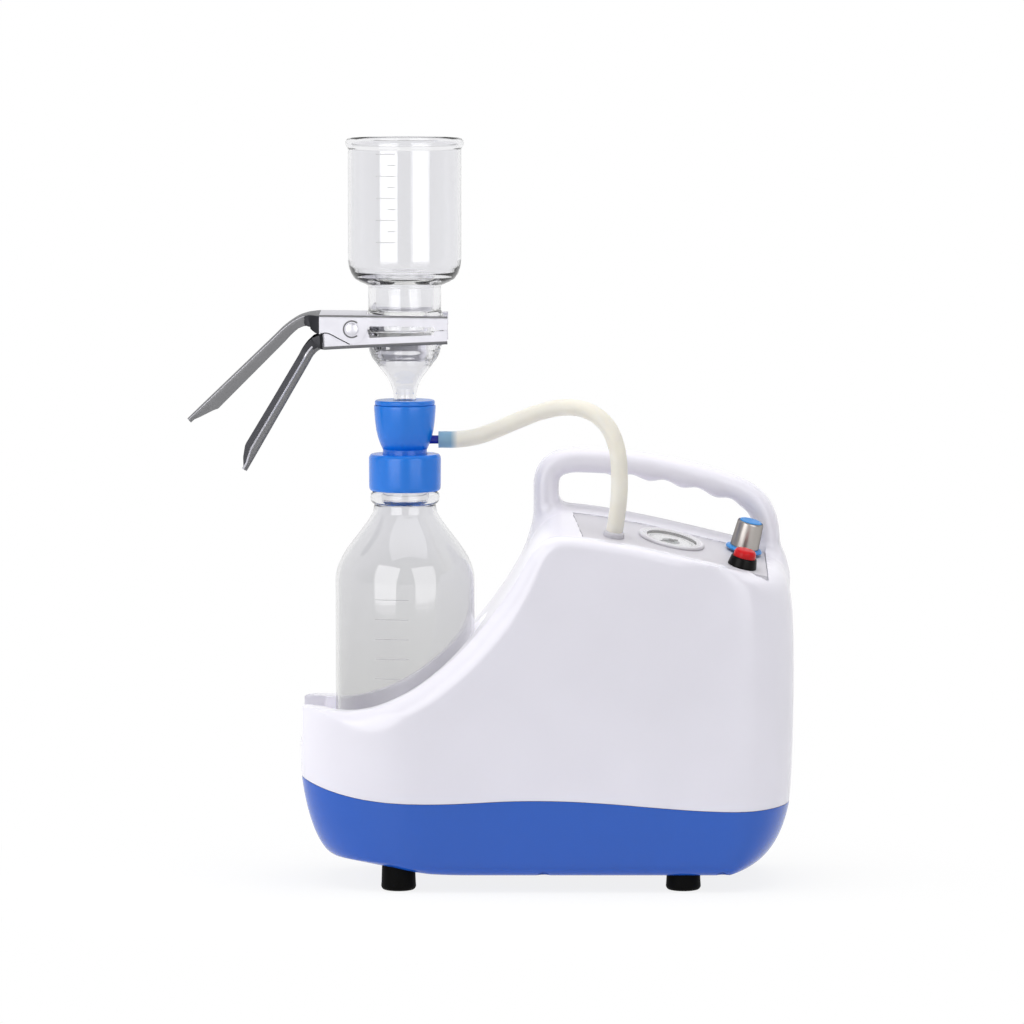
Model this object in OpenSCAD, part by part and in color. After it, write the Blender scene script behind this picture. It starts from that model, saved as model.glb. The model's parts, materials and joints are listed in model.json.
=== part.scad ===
// Portable vacuum filtration unit: pump case with carry handle, glass bottle,
// filter holder, funnel and spring clamp. Millimetres, +Z up, front faces -Y.
// The origin is the middle of the footprint box, at bench level. Heights are
// absolute; lengths along X are measured from the filtration axis.

/* [Case] */
// Length of the case from its left end to its right end
case_l = 355; // [345:1:375]
// Depth of the case from front to back
case_d = 160; // [156:1:176]
// Distance from the left end of the case to the filtration axis
axis_inset = 75; // [73:1:82]
// Thickness of the moulded walls
case_wall = 3; // [2.5:0.1:3.5]
// Height of the rim beside the bottle
lip_z = 128.5; // [122:0.5:136]
// Height of the deck along its front edge
deck_z = 255.3; // [252:0.1:262]
// Final slope of the deck where it falls to the right
deck_fall = 0.27; // [0.2:0.01:0.3]
// Angle at which the deck leans to the front
deck_tilt = 8.7; // [7:0.1:10]
// Distance from the middle plane back to the ridge of the deck
ridge_y = 38; // [36:1:42]
// Radius of the edges along the swept rim
rim_r = 17; // [14:0.5:18]
// Radius of the edges around the deck
deck_r = 8; // [6:0.5:9]
// Radius of the lower edges
keel_r = 9; // [7:0.5:10]

/* [Seam] */
// Height of the seam at the left end
seam_left_z = 80; // [78:0.5:83]
// Height of the seam below the bottle
seam_low_z = 64; // [62:0.5:66]
// Height of the seam under the swept front
seam_crown_z = 66.5; // [64:0.5:68]
// Height of the seam near the right end
seam_right_z = 58.5; // [57:0.5:61]
// Gap between the two mouldings along the seam
seam_gap = 0.3; // [0.2:0.05:0.5]

/* [Bottle well] */
// Height of the floor that the bottle stands on
well_z = 80; // [79.5:0.5:84]
// Radius of the well around the bottle
well_r = 57; // [54:0.5:58]
// How far the well runs on towards the left end
well_run = 10; // [8:0.5:12]
// Width of the notch in the left end wall
notch_w = 64; // [50:1:70]
// Height of the notch's sill
notch_z = 104; // [96:1:112]

/* [Handle] */
// Thickness of the handle, seen from the front
handle_t = 18.4; // [16:0.1:20]
// Width of the handle from front to back
handle_w = 27; // [22:0.5:28]
// Distance of the handle behind the middle plane
handle_y = 25; // [22:0.5:27]
// Height of the middle of the handle's bar at its left end
handle_z = 302.5; // [296:0.5:310]
// Depth of the finger grips under the bar
grip_depth = 1.3; // [0.5:0.1:2]
// Distance from one finger grip to the next
grip_pitch = 24; // [22:0.5:26]

/* [Control panel] */
// Thickness of the panel plate
panel_t = 3; // [2:0.1:3.5]
// Depth of the panel's face below the deck
panel_sink = 0.8; // [0.4:0.1:1.2]
// Gap around the panel in its seat
panel_gap = 0.3; // [0.2:0.05:0.5]
// Distance of the panel's front edge in front of the middle plane
panel_front = 59; // [57:0.5:60]
// Distance of the panel's back edge behind the middle plane
panel_back = 10; // [8:0.5:10.5]
// Distance from the right end of the case to the gauge
gauge_in = 88; // [86:0.5:92]
// Distance of the gauge in front of the middle plane
gauge_front = 19; // [17:0.5:21]
// Distance from the right end of the case to the knob
knob_in = 36; // [34:0.5:40]
// Distance of the knob in front of the middle plane
knob_front = 3; // [2:0.5:5]
// Distance from the right end of the case to the button
button_in = 38; // [36:0.5:40]
// Distance of the button in front of the middle plane
button_front = 46; // [44:0.5:47]
// Distance from the right end of the case to the hose fitting
inlet_in = 130; // [128:0.5:132]
// Distance of the hose inlet in front of the middle plane
inlet_front = 43; // [41:0.5:45]

/* [Gauge] */
// Outside radius of the gauge's rim
gauge_r = 24; // [22.5:0.1:25]
// Radius of the gauge's can
gauge_can_r = 20; // [19:0.1:20.5]
// Length of the gauge's can below the panel
gauge_can_l = 24; // [20:0.5:28]

/* [Regulator] */
// Radius of the knob at its foot
knob_r = 10.1; // [9:0.1:10.8]
// Height of the knob
knob_h = 21; // [18:0.5:24]
// Radius of the disc under the knob
skirt_r = 13; // [12:0.1:14]
// Radius of the knob's spindle
spindle_r = 3; // [2.5:0.1:3.5]

/* [Power button] */
// Radius of the button
button_r = 8; // [7.5:0.1:8.2]
// Height of the button above its surround
button_h = 6; // [5:0.1:7]
// Height of the surround above the panel
surround_h = 7; // [6:0.1:8]
// Travel of the button
button_travel = 3; // [2:0.1:3]

/* [Feet] */
// Height of the rubber feet
foot_h = 12; // [10:0.5:14]
// Radius of a foot at its top
foot_r = 12.3; // [11:0.1:13]
// Distance from the left end of the case to the left feet
foot_in_left = 71; // [68:1:75]
// Distance from the right end of the case to the right feet
foot_in_right = 80; // [76:1:84]
// Distance from the front and the back of the case to the feet
foot_inset = 20; // [19:0.5:23]

/* [Bottle] */
// Height of the bottle
bottle_h = 222; // [216:0.5:230]
// Radius of the bottle
bottle_r = 50.2; // [48:0.1:51]
// Thickness of the glass
glass_t = 2.4; // [2:0.1:3]
// Radius of the bottle's threaded neck
thread_r = 22.2; // [21.6:0.1:22.4]
// Radius of the bottle's mouth
mouth_r = 15.5; // [15.2:0.1:16]

/* [Bottle head] */
// Outside radius of the screw ring
ring_r = 26.3; // [25.6:0.1:27]
// Height of the screw ring
ring_h = 26.6; // [25:0.1:27]
// Clearance of the screw ring on the thread
ring_gap = 0.6; // [0.4:0.05:0.8]
// Thickness of the gasket on the bottle's mouth
gasket_t = 1.5; // [1:0.1:2]
// Height of the blue head above the gasket
head_h = 40.5; // [39:0.1:43]
// Outside radius of the head's bowl
head_r = 22.25; // [21.6:0.05:23]
// Thickness of the lid on the head
lid_t = 3.6; // [3:0.1:4.5]
// Height of the hose nozzle above the gasket
nozzle_z = 15.5; // [15:0.1:17]

/* [Filter holder] */
// Radius of the glass flanges
flange_r = 29; // [28.5:0.1:29.4]
// Radius of the funnel's neck
neck_r = 26.15; // [25.8:0.05:26.4]
// Radius of the filter base's stem
stem_r = 8; // [7.6:0.1:8.2]
// Height of the filter base above the lid
base_h = 50.4; // [49.5:0.1:53]
// Length of the stem below the lid
stem_l = 48; // [44:0.5:56]
// Radius of the sintered disc
frit_r = 19.5; // [18.5:0.1:19.8]
// Thickness of the sintered disc
frit_t = 4; // [3:0.1:4.4]
// Radius of the filter membrane
membrane_r = 23.5; // [22:0.1:25]
// Thickness of the filter membrane
membrane_t = 0.3; // [0.2:0.05:0.5]
// Radius of the funnel's bowl
funnel_r = 40.8; // [39:0.1:42]
// Height of the funnel
funnel_h = 138; // [130:0.5:150]
// Thickness of the funnel's wall
funnel_t = 2.2; // [1.8:0.1:3]

/* [Clamp] */
// Thickness of the pressed sheet
sheet_t = 1.3; // [1:0.1:1.5]
// Distance of the clamp's pin from the filtration axis
pin_x = 37.5; // [36.5:0.1:39]
// Radius of the clamp's pin
pin_r = 2.5; // [2:0.1:3]
// Length of the upper lever beyond its bend
lever_l = 97; // [90:0.5:104]
// Slope of the upper lever
lever_a = 43.7; // [41:0.1:46]
// Length of the lower lever beyond its bend
low_l = 100; // [92:0.5:104]
// Slope of the lower lever
low_a = 60; // [59:0.1:62]
// Half of the clamp's width at its jaws
jaw_w = 32; // [31.8:0.1:33]

/* [Hose] */
// Radius of the hose
hose_r = 6; // [5.5:0.1:6.5]

/* [Pump] */
// Height of the motor's axis
motor_z = 99.5; // [98:0.5:102]
// Radius of the motor
motor_r = 43; // [40:0.5:44]
// Length of the motor
motor_l = 90; // [80:1:94]
// Radius of the motor's shaft
shaft_r = 5; // [4:0.1:6]
// Radius of the cooling fan
fan_r = 38; // [34:0.5:42]
// Height of the plate under the pump
plate_z = 50; // [48:0.5:52]
// Thickness of the plate under the pump
plate_t = 2.5; // [2:0.1:3]
// Running clearance of shafts and pins in their bores, on the radius
run_gap = 0.05; // [0.02:0.01:0.09]

/* [Hidden] */
FN = 72;

xl = -axis_inset;
xr = case_l - axis_inset;
half_d = case_d / 2;
gauge_x = xr - gauge_in;
knob_x = xr - knob_in;
button_x = xr - button_in;
inlet_x = xr - inlet_in;
drive_x = xr - 188;
keel_z = foot_h;
bottle_top = well_z + bottle_h;
head_z = bottle_top + gasket_t;
flange_t = 2.5;
ring_top = head_z + flange_t + 2.7;
lid_z = head_z + head_h;
join_z = lid_z + lid_t + base_h;
pin_z = join_z + 2.6;
knee = [-86.5, join_z + 3.3];
low_knee = [-64, join_z - 15];
lever_end = knee - lever_l * [cos(lever_a), sin(lever_a)];
axis_x = -(lever_end[0] + xr) / 2;
module at_axis() translate([axis_x, 0, 0]) children();

// Bezier points, without the last one
function bez(a, b, c, d, n) = [for (i = [0 : n - 1]) let (t = i / n, s = 1 - t)
    s * s * s * a + 3 * s * s * t * b + 3 * s * t * t * c + t * t * t * d];
function unit(v) = v / norm(v);
function ease(t) = let (u = min(max(t, 0), 1)) u * u * (3 - 2 * u);

// ---- case surface ----
// Height of the deck along its front edge
function deck_at(x) = deck_z - deck_fall * (sqrt(pow(x - 100, 2) + 3600) - 60);
function deck_slope(x) = -deck_fall * (x - 100) / sqrt(pow(x - 100, 2) + 3600);
deck_y0 = rim_r - half_d;
function deck_rise(y) = let (s = tan(deck_tilt))
    y < deck_y0 ? 0 : y < ridge_y ? s * (y - deck_y0) : s * (ridge_y - deck_y0) - (y - ridge_y) * 0.3;

// Side view of the case: [x, z, edge radius, share of the deck's rise]
function tag(pts, r, w) = [for (p = pts) [p[0], p[1], r, w]];
function rim_at(x) = 2.5 + (rim_r - 2.5) * ease((x - xl - 5) / 55);
function rim_tag(pts) = [for (p = pts) [p[0], p[1], rim_at(p[0]), 0]];
turn_x = 112;
turn_z = deck_at(turn_x);
brow = [84, deck_z - 24.3];
side_raw = concat(
    tag(bez([xl, 90], [xl + 0.5, 66], [xl + 10, keel_z + 12], [xl + 25, keel_z + 9.5], 7), keel_r, 0),
    tag(bez([xl + 25, keel_z + 9.5], [xl + 40, keel_z + 7], [xl + 75, keel_z], [xl + 120, keel_z], 6), keel_r, 0),
    tag([for (i = [0 : 2]) [xl + 120 + (case_l - 166) * i / 3, keel_z]], keel_r, 0),
    tag(bez([xr - 46, keel_z], [xr - 18, keel_z], [xr - 7, keel_z + 26], [xr - 3, keel_z + 48], 7), keel_r, 0),
    tag(bez([xr - 3, keel_z + 48], [xr - 1, 80], [xr, 120], [xr, 150], 3), deck_r, 0),
    tag(bez([xr, 150], [xr, 215], [xr - 3, deck_at(xr - 22) - 5], [xr - 22, deck_at(xr - 22)], 8), deck_r, 0.6),
    tag([for (i = [0 : 8]) let (x = xr - 22 - (xr - 22 - turn_x) * i / 9) [x, deck_at(x)]], deck_r, 1),
    tag(bez([turn_x, turn_z], [97, turn_z], brow + [6, 12], brow, 5), deck_r + 4, 0.8),
    rim_tag(bez(brow, brow - [19, 35], [15, lip_z], [-45, lip_z], 14)),
    rim_tag(bez([-45, lip_z], [-58, lip_z], [xl + 9, lip_z + 2.5], [xl + 4, lip_z + 2], 3)),
    rim_tag(bez([xl + 4, lip_z + 2], [xl + 1, lip_z + 1.7], [xl, lip_z], [xl, lip_z - 5], 3)),
    tag([[xl, lip_z - 5], [xl, 107]], 3, 0));
n_side = len(side_raw);
function near(i, k) = side_raw[(i + n_side + k) % n_side];
side = [for (i = [0 : n_side - 1]) let (m = (near(i, -2) + near(i, -1) + near(i, 0) + near(i, 1) + near(i, 2)) / 5)
    [side_raw[i][0], side_raw[i][1], m[2], m[3]]];
function turn_in(i) = let (a = near(i, -1), b = near(i, 1), t = unit([b[0] - a[0], b[1] - a[1]])) [-t[1], t[0]];

// Plan rounding of the two ends
left_end = 75;
right_end = 45;
end_b = 58;
function end_in(y, a) = abs(y) <= half_d - end_b ? 0 :
    a * (1 - sqrt(max(0, 1 - pow((abs(y) - half_d + end_b) / end_b, 2))));
function squeeze(x, y) =
    x < xl + left_end + 10 ? x + end_in(y, left_end) * (1 - (x - xl) / (left_end + 10)) :
    x > xr - right_end - 10 ? x - end_in(y, right_end) * (1 - (xr - x) / (right_end + 10)) : x;
plan_r = 6;
function skin_pt(i, y, plan_y, d) = let (p = side[i], n = turn_in(i))
    [squeeze(p[0] + d * n[0], plan_y), y, p[1] + d * n[1] + p[3] * deck_rise(y)];
function edge_ring(turn, sgn, grow) = [for (i = [0 : n_side - 1])
    let (r = max(side[i][2] - grow, 1), h = half_d - grow, in = 1 - cos(turn))
    skin_pt(i, sgn * (h - r * in), sgn * (h - plan_r * in), grow + r * (1 - sin(turn)))];
function mid_ring(f, grow) = [for (i = [0 : n_side - 1])
    let (r = max(side[i][2] - grow, 1), h = half_d - grow) skin_pt(i, f * (h - r), f * (h - plan_r), grow)];
function skin(grow, turns, mids) = concat(
    [for (a = turns) edge_ring(a, -1, grow)],
    [for (f = mids) mid_ring(f, grow)],
    [for (k = [len(turns) - 1 : -1 : 0]) edge_ring(turns[k], 1, grow)]);

// Triangles that fill a flat outline in XZ, hollows included, cut off one corner at a time
function turn_of(p, q, t) = (q[0] - p[0]) * (t[2] - p[2]) - (q[2] - p[2]) * (t[0] - p[0]);
function inside_of(p, q, t, s) = turn_of(p, q, s) >= 0 && turn_of(q, t, s) >= 0 && turn_of(t, p, s) >= 0;
function is_ear(r, a, b, c, ks) = turn_of(r[a], r[b], r[c]) > 0.0001 &&
    len([for (k = ks) if (k != a && k != b && k != c && inside_of(r[a], r[b], r[c], r[k])) k]) == 0;
function first_ear(r, ks, i) = let (n = len(ks))
    i >= n || is_ear(r, ks[(i + n - 1) % n], ks[i], ks[(i + 1) % n], ks) ? i : first_ear(r, ks, i + 1);
function ears(r, ks) = let (n = len(ks), i = n < 3 ? n : first_ear(r, ks, 0)) i >= n ? [] : concat(
    [[ks[(i + n - 1) % n], ks[i], ks[(i + 1) % n]]], ears(r, [for (k = [0 : n - 1]) if (k != i) ks[k]]));
function filled(r) = let (n = len(r)) ears(r, [for (i = [0 : n - 1]) (i + 26) % n]);
function disc(r) = [[for (i = [0 : len(r) - 1]) i]];

// Closed solid through a list of rings with as many points each
module loft(rs, first, last) {
    n = len(rs[0]);
    m = len(rs);
    points = [for (r = rs) each r];
    walls = [for (j = [0 : m - 2]) for (i = [0 : n - 1])
        let (a = j * n + i, b = j * n + (i + 1) % n) each [[a, b, b + n], [a, b + n, a + n]]];
    caps = concat([for (f = first) [for (i = [len(f) - 1 : -1 : 0]) f[i]]],
        [for (f = last) [for (k = f) (m - 1) * n + k]]);
    polyhedron(points, concat(walls, caps), convexity = 8);
}
module shell_of(rs) loft(rs, filled(rs[0]), filled(rs[len(rs) - 1]));
module tube_of(rs) loft(rs, disc(rs[0]), disc(rs[0]));
module case_outside() shell_of(skin(0, [0, 30, 60, 90], [-0.7, -0.35, 0.45, 0.7]));
module case_inside() shell_of(skin(case_wall, [0, 45, 90], [-0.6, 0.47]));

// ---- seam ----
seam_line = concat(
    bez([xl - 5, seam_left_z + 1], [xl + 20, seam_left_z - 10], [-30, seam_low_z + 0.5], [10, seam_low_z], 8),
    bez([10, seam_low_z], [45, seam_low_z - 0.4], [60, seam_crown_z], [93, seam_crown_z], 6),
    bez([93, seam_crown_z], [xr - 130, seam_crown_z], [xr - 90, seam_right_z], [xr - 40, seam_right_z], 8),
    bez([xr - 40, seam_right_z], [xr - 25, seam_right_z], [xr - 10, seam_right_z + 1], [xr + 5, seam_right_z + 3], 4),
    [[xr + 5, seam_right_z + 3]]);
module along_y(from, to) translate([0, to, 0]) rotate([90, 0, 0]) linear_extrude(to - from) children();
module below_seam(drop) along_y(-case_d, case_d)
    polygon(concat([for (p = seam_line) [p[0], p[1] - drop]], [[xr + 5, -5], [xl - 5, -5]]));

// ---- deck frame ----
// Puts its children on the deck, with +Z along the deck's normal
module on_deck(x, front) translate([x, -front, deck_at(x) + deck_rise(-front)])
    rotate([deck_tilt, 0, 0]) rotate([0, -atan(deck_slope(x) * cos(deck_tilt)), 0]) children();
// Layer that follows the deck between two depths
function layer_pt(x, h) = [x, ((deck_at(x) - deck_z) + h * sqrt(1 + pow(deck_slope(x), 2))) * cos(deck_tilt)];
module deck_layer(low, high) translate([0, deck_y0, deck_z]) rotate([deck_tilt, 0, 0])
    along_y(-30, 130) polygon(concat(
        [for (i = [0 : 16]) layer_pt(turn_x - 6 + i * 10, high)],
        [for (i = [16 : -1 : 0]) layer_pt(turn_x - 6 + i * 10, low)]));
module panel_plan(grow) linear_extrude(400) polygon([
    [121 - grow, panel_back + grow], [128 - grow, -panel_front - grow],
    [xr - 20 + grow, -panel_front - grow], [xr - 20 + grow, panel_back + grow]]);
seat_depth = panel_sink + panel_t;
seat_t = 3;
pocket_t = seat_depth + seat_t;

// ---- handle ----
bar = concat(
    bez([102, deck_z - 14], [102, deck_z], [102, deck_z + 10], [102, handle_z - 19], 3),
    bez([102, handle_z - 19], [102, handle_z - 4], [112, handle_z], [126, handle_z], 5),
    bez([126, handle_z], [165, handle_z - 1], [205, handle_z - 8.5], [236, handle_z - 20], 13),
    bez([236, handle_z - 20], [252, handle_z - 26], [xr - 19, handle_z - 35], [xr - 18, handle_z - 55], 5),
    bez([xr - 18, handle_z - 55], [xr - 17.5, handle_z - 62], [xr - 16, handle_z - 70], [xr - 15, handle_z - 82], 2),
    [[xr - 15, handle_z - 82]]);
function grip_at(x) = grip_depth * ease((x - 140) / 12) * ease((248 - x) / 12) * cos(360 * (x - 152) / grip_pitch);
function bar_ring(i) = let (
    a = bar[max(i - 1, 0)], b = bar[min(i + 1, len(bar) - 1)],
    t = unit(b - a), n = [-t[1], t[0]])
    [for (k = [0 : 11]) let (
        c = cos(30 * k), s = sin(30 * k),
        u = sign(c) * pow(abs(c), 0.8) * handle_t / 2 - (c < -0.1 ? grip_at(bar[i][0]) : 0),
        v = sign(s) * pow(abs(s), 0.8) * handle_w / 2)
        [bar[i][0] + u * n[0], handle_y + v, bar[i][1] + u * n[1]]];
module handle_bar() tube_of([for (i = [0 : len(bar) - 1]) bar_ring(i)]);

// ---- mouldings ----
module well(grow, bottom) translate([0, 0, bottom]) linear_extrude(400) {
    circle(well_r + grow, $fn = FN);
    translate([-well_run, 0]) circle(well_r + grow, $fn = FN);
    translate([-well_run, -well_r - grow]) square([well_run, 2 * (well_r + grow)]);
}
boss_y = half_d - case_wall - 4;
boss_spots = [[-30, 38], [-30, -38], 
    [drive_x + 8, boss_y], [drive_x + 8, -boss_y], [xr - 52, boss_y], [xr - 52, -boss_y]];
boss_z = seam_right_z - 5;
boss_r = 5;
inlet_back = [drive_x + 104, 96];
inlet_size = [28, 21];
vent_count = 7;
module vents() for (i = [0 : vent_count - 1])
    translate([drive_x + 4 + i * 11, half_d - 10, 96]) cube([5, 20, 38]);

module upper_housing() color("ghostwhite") at_axis() difference() {
    union() {
        case_outside();
        handle_bar();
    }
    difference() {
        case_inside();
        well(case_wall, well_z - case_wall);
        intersection() {
            panel_plan(case_wall);
            deck_layer(-pocket_t, 0);
        }
        for (p = boss_spots) translate([p[0], p[1], boss_z]) cylinder(h = well_z - boss_z, r = boss_r, $fn = 32);
    }
    well(0, well_z);
    translate([xl - 1, -notch_w / 2, notch_z]) cube([axis_inset - 20, notch_w, 60]);
    below_seam(0);
    intersection() {
        panel_plan(0);
        deck_layer(-seat_depth, 25);
    }
    on_deck(gauge_x, gauge_front) cylinder(h = 40, r = gauge_can_r + 0.5, center = true, $fn = FN);
    on_deck(knob_x, knob_front) cylinder(h = 40, r = spindle_r + 2, center = true, $fn = 32);
    on_deck(button_x, button_front) cylinder(h = 40, r = button_r + 1.2, center = true, $fn = 32);
    on_deck(inlet_x, inlet_front) cylinder(h = 40, r = 4.5, center = true, $fn = 32);
    for (p = boss_spots) translate([p[0], p[1], boss_z - 1]) cylinder(h = 18, r = 1.9, $fn = 32);
    translate([inlet_back[0] - inlet_size[0] / 2, half_d - 12, inlet_back[1] - inlet_size[1] / 2])
        cube([inlet_size[0], 20, inlet_size[1]]);
    vents();
}

damper_span = 140;
damper_spots = [for (x = [drive_x, drive_x + damper_span]) for (y = [42, -42]) [x, y]];
damper_r = 9;
damper_h = 16;
foot_y = half_d - foot_inset;
foot_spots = [for (x = [xl + foot_in_left, xr - foot_in_right]) for (y = [-foot_y, foot_y]) [x, y]];
tray_floor = keel_z + case_wall;
module base_tray() color("royalblue") at_axis() difference() {
    union() {
        intersection() {
            difference() {
                case_outside();
                case_inside();
            }
            below_seam(seam_gap);
        }
        for (p = foot_spots) translate([p[0], p[1], keel_z]) cylinder(h = 8, r = foot_r + 0.7, $fn = 48);
        for (p = damper_spots) translate([p[0], p[1], tray_floor - 1])
            cylinder(h = plate_z - damper_h - tray_floor + 1, r = damper_r + 2, $fn = 32);
        intersection() {
            for (p = boss_spots) translate([p[0], p[1], 0]) cylinder(h = boss_z - seam_gap, r = boss_r, $fn = 32);
            case_outside();
        }
    }
    for (p = foot_spots) translate([p[0], p[1], keel_z - 1]) cylinder(h = 20, r = 2.05, $fn = 32);
    for (p = boss_spots) translate([p[0], p[1], 0]) {
        cylinder(h = 100, r = 2.2, $fn = 32);
        cylinder(h = keel_z + 10, r = 4.6, $fn = 32);
    }
}
module case_screws() color("silver") at_axis() for (p = boss_spots) translate([p[0], p[1], keel_z + 10]) {
    translate([0, 0, -3]) cylinder(h = 3, r = 4, $fn = 32);
    cylinder(h = boss_z + 15 - keel_z - 10, r = 1.85, $fn = 32);
}

// ---- feet ----
module foot(p) color("black") at_axis() translate([p[0], p[1], 0]) difference() {
    rotate_extrude($fn = 48) polygon([[0, 0], [foot_r - 2.6, 0], [foot_r - 1.3, 1.4], [foot_r, foot_h], [0, foot_h]]);
    translate([0, 0, -1]) cylinder(h = foot_h + 2, r = 2.3, $fn = 32);
    translate([0, 0, -1]) cylinder(h = 6, r = 4.6, $fn = 32);
}
module foot_screws() color("silver") at_axis() for (p = foot_spots) translate([p[0], p[1], 2.2]) {
    cylinder(h = 2.8, r = 4, $fn = 32);
    cylinder(h = foot_h + 4, r = 2, $fn = 32);
}

// ---- control panel ----
module control_panel() color("gainsboro") at_axis() difference() {
    intersection() {
        panel_plan(-panel_gap);
        deck_layer(-seat_depth, -panel_sink);
    }
    on_deck(gauge_x, gauge_front) cylinder(h = 30, r = gauge_can_r + 0.5, center = true, $fn = FN);
    on_deck(knob_x, knob_front) cylinder(h = 30, r = spindle_r + 2, center = true, $fn = 32);
    on_deck(button_x, button_front) cylinder(h = 30, r = button_r + 1.2, center = true, $fn = 32);
    on_deck(inlet_x, inlet_front) cylinder(h = 30, r = 4.5, center = true, $fn = 32);
}
module lathe(pts, fn = FN) rotate_extrude($fn = fn) polygon(pts);
dial_z = -1.6;
module gauge_can() color("dimgray") at_axis() on_deck(gauge_x, gauge_front) {
    lathe([[gauge_can_r - 1.2, dial_z - 1.2], [gauge_can_r - 1.2, -gauge_can_l + 2], [1.2, -gauge_can_l + 2],
        [1.2, -gauge_can_l - 10], [4, -gauge_can_l - 10], [4, -gauge_can_l], [gauge_can_r, -gauge_can_l],
        [gauge_can_r, 0.4], [gauge_can_r - 1.2, 0.4]]);
}
module gauge_rim() color("gainsboro") at_axis() on_deck(gauge_x, gauge_front)
    lathe([[gauge_can_r - 1.5, 0.5], [gauge_can_r + 0.8, 0.5], [gauge_can_r + 0.8, 0.1 - panel_sink],
        [gauge_r, 0.1 - panel_sink], [gauge_r, 2.2], [gauge_r - 1, 3.4], [gauge_r - 3, 3.7],
        [gauge_r - 4.6, 3.2], [gauge_r - 4.6, 1.4], [gauge_can_r - 1.5, 1.4]]);
module gauge_dial() color("white") at_axis() on_deck(gauge_x, gauge_front) translate([0, 0, dial_z - 1.2])
    difference() {
        cylinder(h = 1.2, r = gauge_can_r - 1.25, $fn = FN);
        translate([0, 0, -1]) cylinder(h = 4, r = 1 + run_gap, $fn = 32);
    }
needle_l = gauge_can_r - 6;
module gauge_needle() color("black") at_axis() on_deck(gauge_x, gauge_front) rotate([0, 0, 225]) {
    translate([0, 0, dial_z - 5]) cylinder(h = 6.2, r = 1, $fn = 32);
    translate([0, 0, dial_z + 0.5]) cylinder(h = 0.9, r = 2.2, $fn = 32);
    translate([0, 0, dial_z + 0.6]) linear_extrude(0.5)
        polygon([[-6, -1.1], [-6, 1.1], [0, 0.9], [needle_l, 0.25], [needle_l, -0.25], [0, -0.9]]);
}
module gauge_lens() color("lightcyan", 0.4) at_axis() on_deck(gauge_x, gauge_front) translate([0, 0, 1.5])
    cylinder(h = 1.6, r = gauge_r - 4.7, $fn = FN);

module regulator_valve() color("goldenrod") at_axis() on_deck(knob_x, knob_front) difference() {
    union() {
        translate([0, 0, -pocket_t - 27]) cylinder(h = 26.9, r = 9, $fn = 6);
        translate([0, 0, -pocket_t - 1]) cylinder(h = pocket_t + 1.2, r = spindle_r + 1.9, $fn = 32);
        translate([0, 0, -pocket_t - 16]) rotate([0, -90, 0]) cylinder(h = 18, r = 2.6, $fn = 24);
    }
    translate([0, 0, -pocket_t - 20]) cylinder(h = 60, r = spindle_r + run_gap, $fn = 32);
}
knob_foot = 3.4;
module knob_spindle() color("silver") at_axis() on_deck(knob_x, knob_front)
    translate([0, 0, -pocket_t - 18]) cylinder(h = pocket_t + 18 + knob_foot + 12, r = spindle_r, $fn = 32);
module regulator_knob() color("silver") at_axis() on_deck(knob_x, knob_front) translate([0, 0, knob_foot])
    lathe([[spindle_r, 0], [knob_r, 0], [knob_r - 0.7, knob_h - 0.8], [knob_r - 1.4, knob_h], [knob_r - 2, knob_h],
        [knob_r - 2, knob_h - 1.4], [0, knob_h - 1.4], [0, 12], [spindle_r, 12]]);
module knob_cap() color("deepskyblue") at_axis() on_deck(knob_x, knob_front)
    translate([0, 0, knob_foot + knob_h - 1.4]) cylinder(h = 1.8, r = knob_r - 2, $fn = 48);
module knob_skirt() color("deepskyblue") at_axis() on_deck(knob_x, knob_front) translate([0, 0, 1.2])
    lathe([[spindle_r, 0], [skirt_r, 0], [skirt_r, 1.2], [skirt_r - 0.6, 1.8], [knob_r, knob_foot - 1.2], [spindle_r, knob_foot - 1.2]]);

surround_r = button_r + 2;
module button_surround() color("black") at_axis() on_deck(button_x, button_front) translate([0, 0, 0.1 - panel_sink])
    lathe([[button_r + 0.25, -9], [button_r + 1.1, -9], [button_r + 1.1, 0], [surround_r + 0.3, 0], [surround_r - 0.6, surround_h - 0.6],
        [surround_r - 1.2, surround_h], [button_r + 0.25, surround_h]]);
module power_button() color("red") at_axis() on_deck(button_x, button_front) translate([0, 0, -panel_sink]) {
    lathe([[0, 0], [button_r, 0], [button_r, surround_h + button_h - 1.2], [button_r - 1.2, surround_h + button_h],
        [0, surround_h + button_h]], 48);
    translate([0, 0, -12]) cylinder(h = 12.5, r = 3, $fn = 32);
}
module button_switch() color("dimgray") at_axis() on_deck(button_x, button_front)
    translate([0, 0, -panel_sink - 9.1]) difference() {
        translate([-10, -10, -20]) cube([20, 20, 20]);
        translate([0, 0, -7]) cylinder(h = 10, r = 3 + run_gap, $fn = 32);
    }
module inlet_fitting() color("white") at_axis() on_deck(inlet_x, inlet_front) {
    lathe([[1.8, -26], [3.4, -26], [4, -22], [3.2, -21.5], [3.2, -pocket_t - 6], [7.5, -pocket_t - 6], [7.5, -pocket_t],
        [4.4, -pocket_t], [4.4, -panel_sink], [7.5, -panel_sink], [7.5, 0.6], [6.8, 1.4], [3.6, 1.4], [3.6, 13],
        [3, 14], [1.8, 14]], 48);
}

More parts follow.
